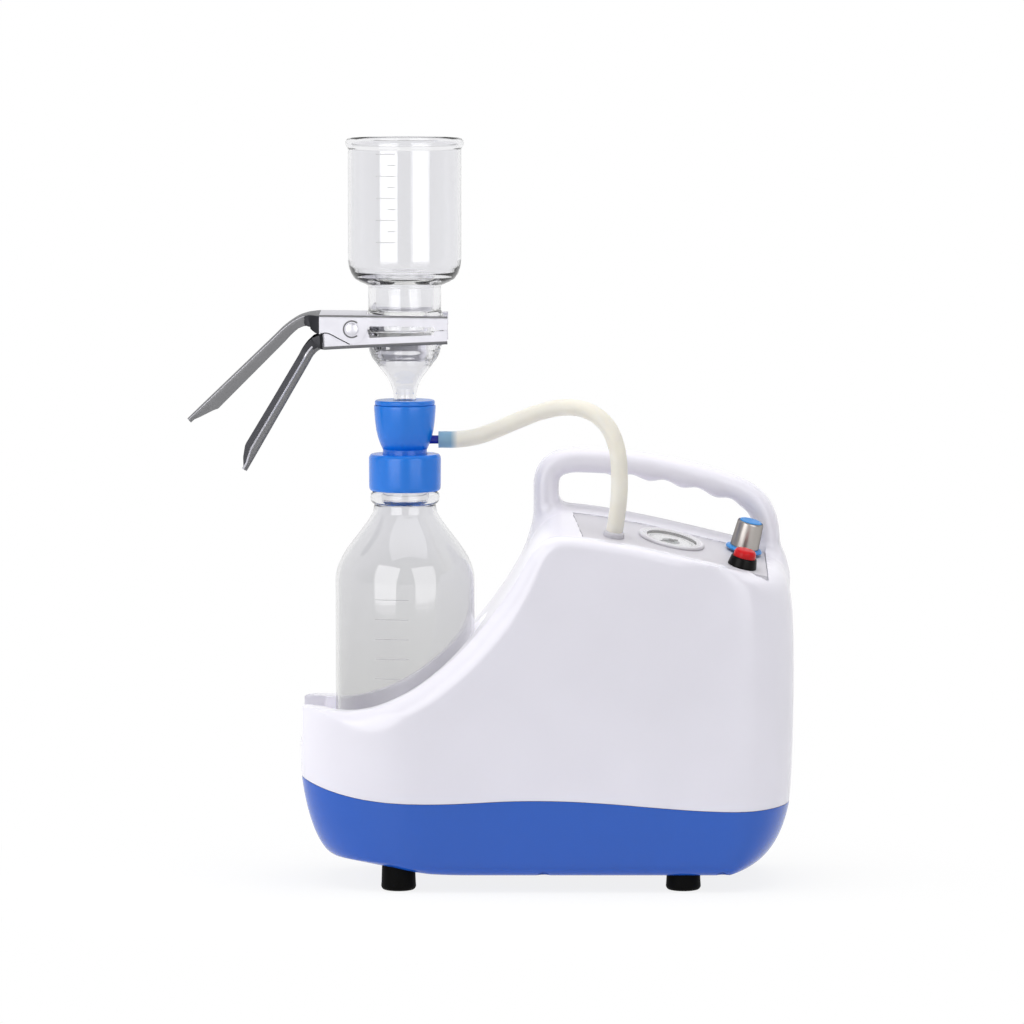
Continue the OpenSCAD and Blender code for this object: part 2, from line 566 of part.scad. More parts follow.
// ---- hose ----
// Middle line of the hose, from the nozzle to the inlet
route = [[27, 0, 319], [36, 0, 319], [46, -0.5, 320], [56, -2, 322.5], [66, -5, 326.5], [76, -8.5, 331],
    [86, -12, 335.5], [96, -16, 339.5], [106, -20.5, 342.5], [116, -25, 344], [126, -29.5, 343.5],
    [135, -33.5, 340.5], [142.5, -37, 335], [148, -40, 327.5], [151.5, -42, 318.5], [153.5, -43.5, 308],
    [154, -44.5, 297], [154, -45.5, 286], [153.2, -45.5, 275], [151.8, -44.6, 264.5], [150.2, -43.2, 255]];
route_from = route[0][0];
route_to = route[len(route) - 1][0];
hose_route = [for (p = route) [p[0] + (inlet_x + 0.2 - route_to) * (p[0] - route_from) / (route_to - route_from), p[1], p[2]]];
function tube_ring(path, i, r, n) = let (
    a = path[max(i - 1, 0)], b = path[min(i + 1, len(path) - 1)], t = unit(b - a),
    u = unit(cross([0, 1, 0.01], t)), v = cross(t, u))
    [for (k = [0 : n - 1]) path[i] + r * (cos(360 * k / n) * u - sin(360 * k / n) * v)];
module tube_along(path, r, n) tube_of([for (i = [0 : len(path) - 1]) tube_ring(path, i, r, n)]);
module vacuum_hose() color("beige") at_axis() tube_along(hose_route, hose_r, 12);

// ---- bottle and head ----
bead_z = 196.6 * bottle_h / 222;
function curve_in(pts, t) = [for (i = [len(pts) - 1 : -1 : 0]) [pts[i][0] - t, pts[i][1]]];
shoulder = bez([bottle_r, 0.635 * bottle_h], [bottle_r, 0.734 * bottle_h], [27, 0.75 * bottle_h], [thread_r - 0.6, 0.855 * bottle_h], 12);
module bottle() color("lightcyan", 0.4) at_axis() translate([0, 0, well_z])
    lathe(concat([[0, 2.5], [34, 1.5], [38, 0], [43, 0], [47.5, 2.6], [bottle_r - 0.4, 7], [bottle_r, 10]],
        shoulder,
        [[thread_r - 0.6, bead_z - 4.5], [24, bead_z - 3.4], [24.9, bead_z - 1.4], [24.9, bead_z + 1.4], [24, bead_z + 3],
            [thread_r, bead_z + 4], [thread_r, bottle_h - 2], [thread_r - 1.5, bottle_h], [mouth_r + 0.5, bottle_h],
            [mouth_r, bottle_h - 1], [mouth_r, 0.91 * bottle_h], [thread_r - 0.6 - glass_t, 0.87 * bottle_h]],
        curve_in(shoulder, glass_t),
        [[bottle_r - glass_t, 13], [46, 8], [42, 5.2], [36, 5], [0, 6]]));
ring_low = ring_top - ring_h;
module screw_ring() color("royalblue") at_axis() lathe([
    [thread_r + ring_gap, ring_low], [ring_r - 1.2, ring_low], [ring_r, ring_low + 1.2], [ring_r, ring_top - 1.6],
    [ring_r - 1.6, ring_top], [16.3, ring_top], [16.3, head_z + flange_t + 0.2], [thread_r + ring_gap, head_z + flange_t + 0.2]]);
module mouth_gasket() color("white") at_axis() translate([0, 0, bottle_top])
    lathe([[mouth_r + 0.6, 0], [thread_r - 1.6, 0], [thread_r - 1.6, gasket_t], [mouth_r + 0.6, gasket_t]]);
module filter_head() color("royalblue") at_axis() translate([0, 0, head_z]) difference() {
    lathe([[10.5, -14], [14.6, -14], [14.6, 0], [21.2, 0], [21.2, flange_t], [15.9, flange_t], [15.9, 8], [17.8, 9.2],
        [20.3, 12], [21.7, 16.5], [head_r, 23], [head_r, head_h], [19, head_h], [19, 16], [17, 13.4], [10.5, 11.5]]);
    translate([15, 0, nozzle_z]) rotate([0, 90, 0]) cylinder(h = 12, r = 3.3, $fn = 32);
}
module hose_nozzle() color("navy") at_axis() translate([0, 0, head_z + nozzle_z]) rotate([0, 90, 0])
    lathe([[1.6, 18.4], [3.25, 18.4], [3.25, head_r + 0.1], [5.4, head_r + 0.1], [5.4, head_r + 3], [3.3, head_r + 3],
        [3.3, 30], [4.2, 30.4], [3.6, 33], [4.2, 33.4], [3.6, 36], [3.9, 36.4], [3.1, 39], [1.6, 39]], 32);
module head_lid() color("royalblue") at_axis() translate([0, 0, lid_z])
    lathe([[stem_r + 0.3, 0], [12.1, 0], [12.1, -6], [18.8, -6], [18.8, 0], [head_r - 0.7, 0], [head_r - 0.7, lid_t - 0.8],
        [head_r - 1.5, lid_t], [stem_r + 0.3, lid_t]]);
module stem_seal() color("white") at_axis() translate([0, 0, lid_z - 6])
    lathe([[stem_r + 0.05, 0], [12.05, 0], [12.05, 5.95], [stem_r + 0.05, 5.95]]);

// ---- filter holder ----
base_cone = [[27.2, -10.4], [25.9, -13], [25.2, -16], [23.4, -20], [20, -24.4], [16.5, -29], [13.3, -33],
    [10.8, -37.4], [9, -42]];
face_gap = membrane_t / 2;
collar_r = 27.3;
module filter_base() color("lightcyan", 0.4) at_axis() translate([0, 0, join_z - face_gap])
    lathe(concat([[flange_r, 0], [flange_r, -4.3]], base_cone,
        [[stem_r + 0.2, -46], [stem_r, -base_h + 0.5], [stem_r, -base_h - lid_t - stem_l], [stem_r - 2, -base_h - lid_t - stem_l - 2],
            [stem_r - 2, -46], [6.9, -42], [8.5, -37.4], [10.8, -33], [13.8, -28.6], [16.6, -24.4], [18, -20],
            [frit_r - 2, -16], [frit_r - 2, -frit_t - 0.1], [frit_r + 0.1, -frit_t - 0.1], [frit_r + 0.1, 0]]));
module sintered_disc() color("whitesmoke") at_axis() translate([0, 0, join_z - face_gap - frit_t - 0.1])
    cylinder(h = frit_t + 0.1, r = frit_r, $fn = FN);
module filter_membrane() color("white") at_axis() translate([0, 0, join_z - face_gap])
    cylinder(h = membrane_t, r = membrane_r, $fn = FN);
bowl_z = 31.5;
module funnel() color("lightcyan", 0.4) at_axis() translate([0, 0, join_z + face_gap])
    lathe([[frit_r - 0.5, 0], [flange_r, 0], [flange_r, 4.3], [collar_r, 12.4], [neck_r, 14.6], [neck_r, bowl_z],
        [neck_r + 1.4, bowl_z + 1.3], [neck_r + 6, bowl_z + 3.6], [funnel_r - 4.9, bowl_z + 5.4],
        [funnel_r - 2.2, bowl_z + 9.3], [funnel_r - 0.6, bowl_z + 14], [funnel_r, bowl_z + 19],
        [funnel_r, funnel_h - 7], [funnel_r + 1.4, funnel_h - 5.6], [funnel_r + 1.8, funnel_h - 3.6],
        [funnel_r + 1.2, funnel_h - 1.4], [funnel_r - 0.4, funnel_h], [funnel_r - funnel_t + 0.4, funnel_h - 0.6],
        [funnel_r - funnel_t, funnel_h - 3], [funnel_r - funnel_t, bowl_z + 19.5], [funnel_r - funnel_t - 0.7, bowl_z + 15],
        [funnel_r - funnel_t - 2.6, bowl_z + 11], [funnel_r - funnel_t - 6, bowl_z + 7.8], [24, bowl_z + 5.4],
        [21.8, bowl_z + 2.6], [21.2, bowl_z - 2], [21.2, 14], [frit_r - 0.5, 6]]);

// ---- clamp ----
fork_r = collar_r + 0.5;
function rel(pts) = [for (p = pts) [p[0], join_z + p[1]]];
lever_n = [sin(lever_a), -cos(lever_a)];
lever_t = [cos(lever_a), sin(lever_a)];
low_end = low_knee - low_l * [cos(low_a), sin(low_a)];
low_n = [-sin(low_a), cos(low_a)];
low_t = [cos(low_a), sin(low_a)];
upper_top = concat(rel([[31, 11.6], [-62, 12.6], [-71, 12.4], [-78, 9.6]]), [knee, lever_end]);
upper_side = concat(upper_top, [lever_end + 1.5 * lever_n, lever_end + 8 * lever_t + 5 * lever_n,
    lever_end + 18 * lever_t + 9.6 * lever_n, knee + 7.4 * lever_n],
    rel([[-69, 6.5], [-62, 4.2], [-56, -0.1], [-41, -8.4], [-34, -8.4], [-29, -5], [-26.4, 1], [-25, 4], [31, 4]]));
upper_plan = [[32, jaw_w], [-56, jaw_w], [-62, jaw_w - 2], [-68, jaw_w - 12], [-76, jaw_w - 18], [lever_end[0] - 1, 8.5]];
low_bottom = concat(rel([[31, -8.5], [-57, -12.5], [-61, -13]]), [low_knee, low_end]);
low_side = concat(low_bottom, [low_end + 1.4 * low_n, low_end + 8 * low_t + 7.4 * low_n,
    low_end + 16 * low_t + 10.4 * low_n, low_knee + 8.4 * low_n],
    rel([[-69, -7], [-60, -2], [-52, 4], [-45, 9.4], [-33, 9.4], [-27, 6], [-24.5, -1.4], [31, -1.4]]));
low_plan = [[32, jaw_w - 1.6], [-55, jaw_w - 1.6], [-60, jaw_w - 3.6], [-65, jaw_w - 13], [-72, jaw_w - 19], [low_end[0] - 10, 9]];
function mirror_plan(p, t) = concat([for (q = p) [q[0], q[1] - t]], [for (i = [len(p) - 1 : -1 : 0]) [p[i][0], t - p[i][1]]]);
function shift(pts, v) = [for (p = pts) p + v];
module fork_gap() linear_extrude(700) {
    circle(fork_r, $fn = FN);
    translate([0, -fork_r]) square([60, 2 * fork_r]);
}
module pin_bore() translate([-pin_x, 50, pin_z]) rotate([90, 0, 0]) cylinder(h = 100, r = pin_r + run_gap, $fn = 32);
module clamp_upper_jaw() color("silver") at_axis() difference() {
    intersection() {
        along_y(-50, 50) polygon(upper_side);
        linear_extrude(700) polygon(mirror_plan(upper_plan, 0));
    }
    intersection() {
        along_y(-50, 50) polygon(concat(rel([[40, 11.5 - sheet_t]]), shift([upper_top[1], upper_top[2], upper_top[3]], [0.4, -sheet_t]),
            [knee + sheet_t * lever_n, lever_end + sheet_t * lever_n - 9 * lever_t],
            [[lever_end[0] - 9, join_z - 160], [40, join_z - 160]]));
        linear_extrude(700) polygon(mirror_plan(upper_plan, sheet_t));
    }
    fork_gap();
    pin_bore();
}
module clamp_lower_jaw() color("silver") at_axis() difference() {
    intersection() {
        along_y(-50, 50) polygon(low_side);
        linear_extrude(700) polygon(mirror_plan(low_plan, 0));
    }
    intersection() {
        along_y(-50, 50) polygon(concat(rel([[40, sheet_t - 8.1]]), shift([low_bottom[1], low_bottom[2]], [-0.3, sheet_t]),
            [low_knee + sheet_t * low_n, low_end + sheet_t * low_n - 9 * low_t],
            [[low_end[0] - 30, low_end[1]], [low_end[0] - 30, join_z + 60], [40, join_z + 60]]));
        linear_extrude(700) polygon(mirror_plan(low_plan, sheet_t));
    }
    fork_gap();
    pin_bore();
}
pin_half = jaw_w + 0.2;
module clamp_pin() color("silver") at_axis() translate([-pin_x, 0, pin_z]) rotate([90, 0, 0]) {
    cylinder(h = 2 * pin_half, r = pin_r, center = true, $fn = 32);
    for (s = [-1, 1]) translate([0, 0, s * (pin_half + 0.7)]) cylinder(h = 1.4, r = 4.4, center = true, $fn = 32);
}
coil_r = pin_r + 2.4;
module rod(a, b, r) translate(a) rotate([0, acos((b - a)[2] / norm(b - a)), atan2((b - a)[1], (b - a)[0])])
    cylinder(h = norm(b - a), r = r, $fn = 16);
module clamp_spring() color("gray") at_axis() translate([-pin_x, 0, pin_z]) {
    rotate([90, 0, 0]) difference() {
        cylinder(h = 22, r = coil_r + 0.8, center = true, $fn = 32);
        cylinder(h = 24, r = coil_r - 0.8, center = true, $fn = 32);
    }
    rod([0, 10, coil_r], [-26, 10, 7.6], 0.8);
    rod([0, -10, -coil_r], [-20, -10, -12.4], 0.8);
}

// ---- pump inside the case ----
module pump_plate() color("silver") at_axis() difference() {
    translate([drive_x - 12, -54, plate_z]) cube([damper_span + 24, 108, plate_t]);
    for (p = damper_spots) translate([p[0], p[1], plate_z - 1]) cylinder(h = 10, r = 3, $fn = 32);
}
module pump_dampers() color("black") at_axis() for (p = damper_spots) translate([p[0], p[1], plate_z - damper_h])
    lathe([[0, 0], [damper_r, 0], [damper_r, 4], [damper_r - 1.5, 8], [damper_r, 12], [damper_r, damper_h],
        [2.9, damper_h], [2.9, damper_h + plate_t], [0, damper_h + plate_t]], 32);
plate_top = plate_z + plate_t;
motor_x = drive_x + 54;
module along_x(x, z) translate([x, 0, z]) rotate([0, 90, 0]) children();
module pump_motor() color("dimgray") at_axis() difference() {
    union() {
        along_x(motor_x, motor_z) cylinder(h = motor_l, r = motor_r, $fn = FN);
        translate([motor_x + 10, -32, plate_top]) cube([motor_l - 20, 64, 20]);
    }
    along_x(motor_x - 1, motor_z) cylinder(h = motor_l + 2, r = shaft_r + run_gap, $fn = 32);
    for (k = [2 : 10]) along_x(motor_x + 8, motor_z) rotate([0, 0, 30 * k]) translate([motor_r + 1, 0, 0])
        cylinder(h = motor_l - 16, r = 3, $fn = 16);
}
fan_x = motor_x + motor_l + 6;
module motor_shaft() color("silver") at_axis() along_x(motor_x - 36, motor_z)
    cylinder(h = fan_x + 12 - motor_x + 36, r = shaft_r, $fn = 32);
module cooling_fan() color("gray") at_axis() along_x(fan_x, motor_z) {
    difference() {
        union() {
            cylinder(h = 10, r = shaft_r + 4, $fn = 32);
            for (k = [0 : 6]) rotate([0, 0, k * 360 / 7]) translate([shaft_r + 2, -0.8, 1])
                cube([fan_r - shaft_r - 2, 1.6, 8]);
        }
        translate([0, 0, -1]) cylinder(h = 12, r = shaft_r, $fn = 32);
    }
}
crank_x = drive_x;
barrel_x = drive_x + 24;
head_top = motor_z + 78;
module pump_body() color("silver") at_axis() difference() {
    union() {
        translate([crank_x, -30, plate_top]) cube([motor_x - crank_x, 60, motor_z + 27 - plate_top]);
        translate([barrel_x, 0, motor_z + 26]) cylinder(h = head_top - 12 - motor_z - 26, r = 22, $fn = 48);
        for (i = [0 : 4]) translate([barrel_x, 0, motor_z + 31 + 6 * i]) cylinder(h = 2, r = 28, $fn = 48);
        translate([barrel_x - 28, -26, head_top - 12]) cube([56, 52, 12]);
    }
    along_x(motor_x - 38, motor_z) cylinder(h = 60, r = shaft_r + run_gap, $fn = 32);
}
manifold_x = barrel_x - 14;
manifold_h = 10;
port_pitch = 15;
stub_h = 9;
module vacuum_manifold() color("goldenrod") at_axis() translate([manifold_x, 0, head_top]) {
    translate([-6, -22, 0]) cube([12, 44, manifold_h]);
    for (k = [-1 : 1]) translate([0, k * port_pitch, manifold_h]) cylinder(h = stub_h, r = 2.6, $fn = 32);
}
module silencer() color("burlywood") at_axis() translate([barrel_x + 14, -12, head_top])
    lathe([[0, 0], [5, 0], [5, 4], [8, 4], [8, 16], [6, 19], [0, 19]], 32);
module run_capacitor() color("whitesmoke") at_axis() translate([barrel_x + 4, 41, plate_top])
    lathe([[0, 0], [10.5, 0], [10.5, 44], [3, 44], [3, 47], [0, 47]], 32);

// Place given in the deck frame of a fitting
function from_deck(x, front, v) = let (b = -atan(deck_slope(x) * cos(deck_tilt)),
    w = [v[0] * cos(b) + v[2] * sin(b), v[1], v[2] * cos(b) - v[0] * sin(b)])
    [x, -front, deck_at(x) + deck_rise(-front)]
    + [w[0], w[1] * cos(deck_tilt) - w[2] * sin(deck_tilt), w[1] * sin(deck_tilt) + w[2] * cos(deck_tilt)];
function stub(k) = [manifold_x, k * port_pitch, head_top + manifold_h + 1];
line_r = 3.6;
module line(a, way_a, b, way_b) color("beige") at_axis()
    tube_along(concat(bez(a, a + way_a, b + way_b, b, 11), [b]), line_r, 8);
module inlet_line() line(stub(-1), [0, -6, 34], from_deck(inlet_x, inlet_front, [0, 0, -20]), [-2, 2, -24]);
module gauge_line() line(stub(0), [0, 0, 40], from_deck(gauge_x, gauge_front, [0, 0, -gauge_can_l - 2]), [-2, 1, -20]);
module valve_line() line(stub(1), [0, 6, 34], from_deck(knob_x, knob_front, [-10, 0, -pocket_t - 16]), [-34, 0, -3]);

module mains_inlet() color("black") at_axis() translate([inlet_back[0], 0, inlet_back[1]]) {
    w = inlet_size[0] - 0.4;
    h = inlet_size[1] - 0.4;
    difference() {
        union() {
            translate([-w / 2, half_d - 28, -h / 2]) cube([w, 28, h]);
            translate([-w / 2 - 3, half_d - case_wall - 2.1, -h / 2 - 3]) cube([w + 6, 2, h + 6]);
        }
        translate([-12, half_d - 16, -8]) cube([24, 20, 16]);
    }
    for (x = [-7, 0, 7]) translate([x - 1, half_d - 17, x == 0 ? 0 : -4]) cube([2, 13, 4]);
}

loom_r = 2.5;
loom_from = [inlet_back[0], half_d - 20, inlet_back[1] + inlet_size[1] / 2 - 0.2];
loom_to = from_deck(button_x, button_front, [0, 0, -panel_sink - 29.1]);
module wire_loom() color("dimgray") at_axis()
    tube_along(concat(bez(loom_from, loom_from + [0, 2, 60], loom_to + [2, 6, -44], loom_to, 13), [loom_to]), loom_r, 8);

upper_housing();
base_tray();
control_panel();
foot(foot_spots[0]);  // foot_front_left
foot(foot_spots[1]);  // foot_back_left
foot(foot_spots[2]);  // foot_front_right
foot(foot_spots[3]);  // foot_back_right
foot_screws();
case_screws();
gauge_can();
gauge_rim();
gauge_dial();
gauge_needle();
gauge_lens();
regulator_valve();
knob_spindle();
regulator_knob();
knob_cap();
knob_skirt();
button_surround();
power_button();
button_switch();
inlet_fitting();
vacuum_hose();
bottle();
screw_ring();
mouth_gasket();
filter_head();
hose_nozzle();
head_lid();
stem_seal();
filter_base();
sintered_disc();
filter_membrane();
funnel();
clamp_upper_jaw();
clamp_lower_jaw();
clamp_pin();
clamp_spring();
pump_plate();
pump_dampers();
pump_motor();
motor_shaft();
cooling_fan();
pump_body();
vacuum_manifold();
silencer();
run_capacitor();
inlet_line();
gauge_line();
valve_line();
mains_inlet();
wire_loom();
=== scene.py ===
# %% [markdown]
# # Portable vacuum filtration unit
# A moulded pump case with a carry handle holds a glass bottle. On the bottle
# stand a blue filter head, a glass holder and a glass funnel in a spring clamp.
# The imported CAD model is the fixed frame: its nodes give every place and size,
# and the pieces made here stand where those nodes stand and ride on their bodies.

# %% Load the fixed frame
import json
import math

import bpy
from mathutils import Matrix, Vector
import numpy as np

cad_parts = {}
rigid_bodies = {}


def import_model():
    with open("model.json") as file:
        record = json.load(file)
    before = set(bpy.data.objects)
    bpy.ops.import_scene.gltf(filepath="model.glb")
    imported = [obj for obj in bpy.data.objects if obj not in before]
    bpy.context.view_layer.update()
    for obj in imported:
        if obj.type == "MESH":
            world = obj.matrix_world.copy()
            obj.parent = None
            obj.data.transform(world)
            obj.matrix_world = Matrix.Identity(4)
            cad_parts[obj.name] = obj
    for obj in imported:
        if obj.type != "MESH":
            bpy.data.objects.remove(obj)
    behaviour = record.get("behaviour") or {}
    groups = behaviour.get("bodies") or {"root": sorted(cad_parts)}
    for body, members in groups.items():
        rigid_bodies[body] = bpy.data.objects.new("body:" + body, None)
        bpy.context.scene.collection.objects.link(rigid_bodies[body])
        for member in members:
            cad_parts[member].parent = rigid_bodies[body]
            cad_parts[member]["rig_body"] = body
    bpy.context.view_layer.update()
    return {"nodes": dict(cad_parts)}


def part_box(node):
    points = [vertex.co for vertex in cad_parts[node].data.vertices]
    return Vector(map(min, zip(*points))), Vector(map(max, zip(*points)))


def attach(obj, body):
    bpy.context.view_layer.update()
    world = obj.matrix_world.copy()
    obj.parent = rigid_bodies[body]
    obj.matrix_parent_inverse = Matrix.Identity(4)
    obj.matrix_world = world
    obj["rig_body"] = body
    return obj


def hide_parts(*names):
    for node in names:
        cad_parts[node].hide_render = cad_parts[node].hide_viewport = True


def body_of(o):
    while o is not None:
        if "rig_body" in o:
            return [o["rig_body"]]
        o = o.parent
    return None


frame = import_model()
nodes = frame["nodes"]
MM = 0.001
bottle_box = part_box("bottle")
AXIS_X = (bottle_box[0][0] + bottle_box[1][0]) / 2 / MM

# %% [markdown]
# Lengths are written in millimetres, with X measured from the middle line of the
# bottle, because every glass piece is turned about that line. One function puts
# such points into the frame, in metres. An object stays at the origin and its
# place is in its mesh, so that textures on object coordinates never slide.


# %% Points, meshes and objects
def to_frame(points):
    """Points in millimetres about the bottle's axis, as metres in the frame."""
    p = np.asarray(points, dtype=float).reshape(-1, 3).copy()
    p[:, 0] += AXIS_X
    return p * MM


def link(obj):
    bpy.context.scene.collection.objects.link(obj)
    return obj


def smooth_object(name, mesh, sharp):
    """An object whose mesh is shaded smooth, except at edges of more than sharp degrees."""
    mesh.polygons.foreach_set("use_smooth", [True] * len(mesh.polygons))
    mesh.set_sharp_from_angle(angle=math.radians(sharp))
    return link(bpy.data.objects.new(name, mesh))


def solid(name, points, faces, sharp=50.0):
    """An object from a list of points in millimetres and a list of faces."""
    mesh = bpy.data.meshes.new(name)
    mesh.from_pydata(to_frame(points).tolist(), [], [list(map(int, f)) for f in faces])
    mesh.validate()
    mesh.update()
    return smooth_object(name, mesh, sharp)


def bezier(a, b, c, d, n):
    """n points of a cubic curve, without its last point."""
    t = np.arange(n)[:, None] / n
    a, b, c, d = (np.array(v, dtype=float) for v in (a, b, c, d))
    return (1 - t) ** 3 * a + 3 * (1 - t) ** 2 * t * b + 3 * (1 - t) * t**2 * c + t**3 * d


def ease(t):
    """A soft step: 0 below 0, 1 above 1, level at both ends."""
    t = np.clip(t, 0, 1)
    return t * t * (3 - 2 * t)


print("a point on the axis lies at", to_frame([0, 0, 0])[0].round(4).tolist())

# %% [markdown]
# Colours are written as they look on screen, in hexadecimal. The shader works in
# linear light, so one function turns them. Small functions add a node to a
# material, set it and wire it, which keeps each material short to read.

# %% Colour and node helpers
WHITE = (1.0, 1.0, 1.0, 1.0)


def rgb(text):
    """Linear colour of an sRGB hexadecimal text such as D9D5E4."""
    out = []
    for k in (0, 2, 4):
        c = int(text[k : k + 2], 16) / 255
        out.append(c / 12.92 if c <= 0.04045 else ((c + 0.055) / 1.055) ** 2.4)
    return (*out, 1.0)


def feed(node, **inputs):
    """Set inputs by name, or by number as i0 and i1, to a value or to another node's socket."""
    for key, value in inputs.items():
        by_number = key[0] == "i" and key[1:].isdigit()
        socket = node.inputs[int(key[1:]) if by_number else key.replace("_", " ")]
        if isinstance(value, bpy.types.NodeSocket):
            node.id_data.links.new(value, socket)
        else:
            socket.default_value = value
    return node


def add(tree, kind, settings=None, **inputs):
    """A new node with its settings and its inputs."""
    node = tree.nodes.new(kind)
    for key, value in (settings or {}).items():
        setattr(node, key, value)
    return feed(node, **inputs)


def maths(tree, operation, a, b):
    """The result of one sum on two numbers or sockets."""
    return add(tree, "ShaderNodeMath", {"operation": operation}, i0=a, i1=b).outputs[0]


def place_on_piece(tree):
    """Object coordinates: the place on the piece, in metres."""
    return add(tree, "ShaderNodeTexCoord").outputs["Object"]


def shader_of(finish):
    return finish.node_tree.nodes["Principled BSDF"]


def material(name, **inputs):
    """A new material with a Principled shader: (material, its tree, its shader)."""
    m = bpy.data.materials.new(name)
    m.use_nodes = True
    return m, m.node_tree, feed(shader_of(m), **inputs)


def ramp(tree, source, stops):
    """A colour ramp on a socket: stops are (place, colour)."""
    node = add(tree, "ShaderNodeValToRGB", i0=source)
    cells = node.color_ramp.elements
    while len(cells) < len(stops):
        cells.new(0.5)
    for cell, (place, colour) in zip(cells, stops):
        cell.position = place
        cell.color = colour
    return node.outputs["Color"]


print("grey 808080 is", round(rgb("808080")[0], 3), "in linear light")

# %% [markdown]
# The camera looks along +Y from a little above, through a long lens, as a maker's
# catalogue view is taken. Its aim is a point a little right of the bottle.

# %% Camera
AIM = to_frame([[77.2, 0.0, 266.5]])[0]
ELEVATION = math.radians(5.0)
STAND_OFF = 5.5
camera = bpy.data.cameras.new("camera")
camera.lens = 268.0
camera.sensor_width = 36.0
camera.clip_start = 0.5
camera.clip_end = 200.0
camera_obj = link(bpy.data.objects.new("camera", camera))
camera_obj.location = (AIM[0], -STAND_OFF * math.cos(ELEVATION), AIM[2] + STAND_OFF * math.sin(ELEVATION))
camera_obj.rotation_euler = (math.pi / 2 - ELEVATION, 0.0, 0.0)
bpy.context.scene.camera = camera_obj
print("camera at", [round(v, 3) for v in camera_obj.location])

# %% [markdown]
# A hose, a wire or a raised edge is a ring of points carried along a line. At each
# point of the line two directions square to it hold the ring upright. A curve
# object with a bevel would do the same, but here the mesh has its bore as well.


# %% Lines and tubes
def smooth_line(points, per_span):
    """Catmull-Rom line through the points."""
    p = np.vstack([2 * points[0] - points[1], points, 2 * points[-1] - points[-2]])
    t = (np.arange(per_span) / per_span)[None, :, None]
    a, b, c, d = (p[k : len(p) - 3 + k, None, :] for k in range(4))
    line = 0.5 * (2 * b + (c - a) * t + (2 * a - 5 * b + 4 * c - d) * t**2 + (3 * b - a - 3 * c + d) * t**3)
    return np.vstack([line.reshape(-1, 3), points[-1]])


def frames_along(line):
    """Two unit normals at each point of a line."""
    tangent = np.gradient(line, axis=0)
    tangent /= np.linalg.norm(tangent, axis=1)[:, None]
    u = np.cross(np.broadcast_to((0.0, 1.0, 0.01), line.shape), tangent)
    u /= np.linalg.norm(u, axis=1)[:, None]
    return u, np.cross(tangent, u)


def rings_mesh(rings, closed_line=False):
    """Faces between closed rings of equal length: (points, faces)."""
    m, n = len(rings), len(rings[0])
    faces = []
    for j in range(m if closed_line else m - 1):
        for i in range(n):
            a, b = j * n + i, j * n + (i + 1) % n
            c, d = ((j + 1) % m) * n + (i + 1) % n, ((j + 1) % m) * n + i
            faces.append((a, b, c, d))
    return np.array(rings).reshape(-1, 3), faces


def tube(name, line, radius, bore=0.0, sides=32):
    """A tube along a line. With a bore it has an inner wall and ring ends, else flat ends."""
    u, v = frames_along(line)
    angle = np.linspace(0, 2 * math.pi, sides, endpoint=False)
    ring = lambda k, r: line[k] + r * (np.cos(angle)[:, None] * u[k] + np.sin(angle)[:, None] * v[k])
    rings = [ring(k, radius) for k in range(len(line))]
    if bore:
        rings += [ring(k, bore) for k in range(len(line) - 1, -1, -1)]
        return solid(name, *rings_mesh(rings, closed_line=True))
    points, faces = rings_mesh(rings)
    first = (len(rings) - 1) * sides
    faces += [tuple(range(sides - 1, -1, -1)), tuple(range(first, first + sides))]
    return solid(name, points, faces)


print("3 points, smoothed by 5 to a span, are", len(smooth_line(np.eye(3), 5)), "points")

# %% [markdown]
# The vacuum hose is a limp silicone tube with a fixed length. It is slipped over
# the nozzle of the filter head, rises in one arch, turns down in front of the
# handle and is slipped over the fitting on the deck. Both ends are held, so its
# shape is the arch that its own stiffness gives. It is a true tube: an outer and
# an inner wall swept along the same smooth line, joined by a ring at each end.

# %% Vacuum hose
HOSE_R, HOSE_BORE_R, HOSE_PER_SPAN = 6.0, 3.4, 5
hose_points = np.array([
    [24.2, 0, 319], [27, 0, 319], [36, 0, 319], [46, -0.5, 320], [56, -2, 322.5], [66, -5, 326.5],
    [76, -8.5, 331], [86, -12, 335.5], [96, -16, 339.5], [106, -20.5, 342.5],
    [116, -25, 344], [126, -29.5, 343.5], [135, -33.5, 340.5], [142.5, -37, 335],
    [148, -40, 327.5], [151.5, -42, 318.5], [153.5, -43.5, 308], [154, -44.5, 297],
    [154, -45.5, 286], [153.2, -45.5, 275], [151.8, -44.6, 264.5], [150.2, -43.2, 255],
], dtype=float)
hose_line = smooth_line(hose_points, HOSE_PER_SPAN)
vacuum_hose = tube("silicone_hose", hose_line, HOSE_R, HOSE_BORE_R, sides=40)
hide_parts("vacuum_hose")
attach(vacuum_hose, "root")
to_frame(hose_points[:1])[0].tolist()
to_frame(hose_line).tolist()

# %% [markdown]
# ## The case
# The case is two injection mouldings in gloss ABS: a white housing with its carry
# handle, and a blue tray. Their walls flow into each other with soft radii, which
# is hard to build from flat pieces and cuts. So each moulding is first written
# as a distance field: a function that is negative in the plastic, and about as
# large as the distance to the surface. Fields are joined and cut with minimum and
# maximum, and a rounded minimum gives the fillet a mould maker would cut.
#
# The first field needs the side profile: a line under the case from the left end
# to the right one, and a line over it along the deck and down to the bottle.

# %% Side profile of the case
XL, XR, HALF_D, KEEL_Z = -75.0, 280.0, 80.0, 12.0
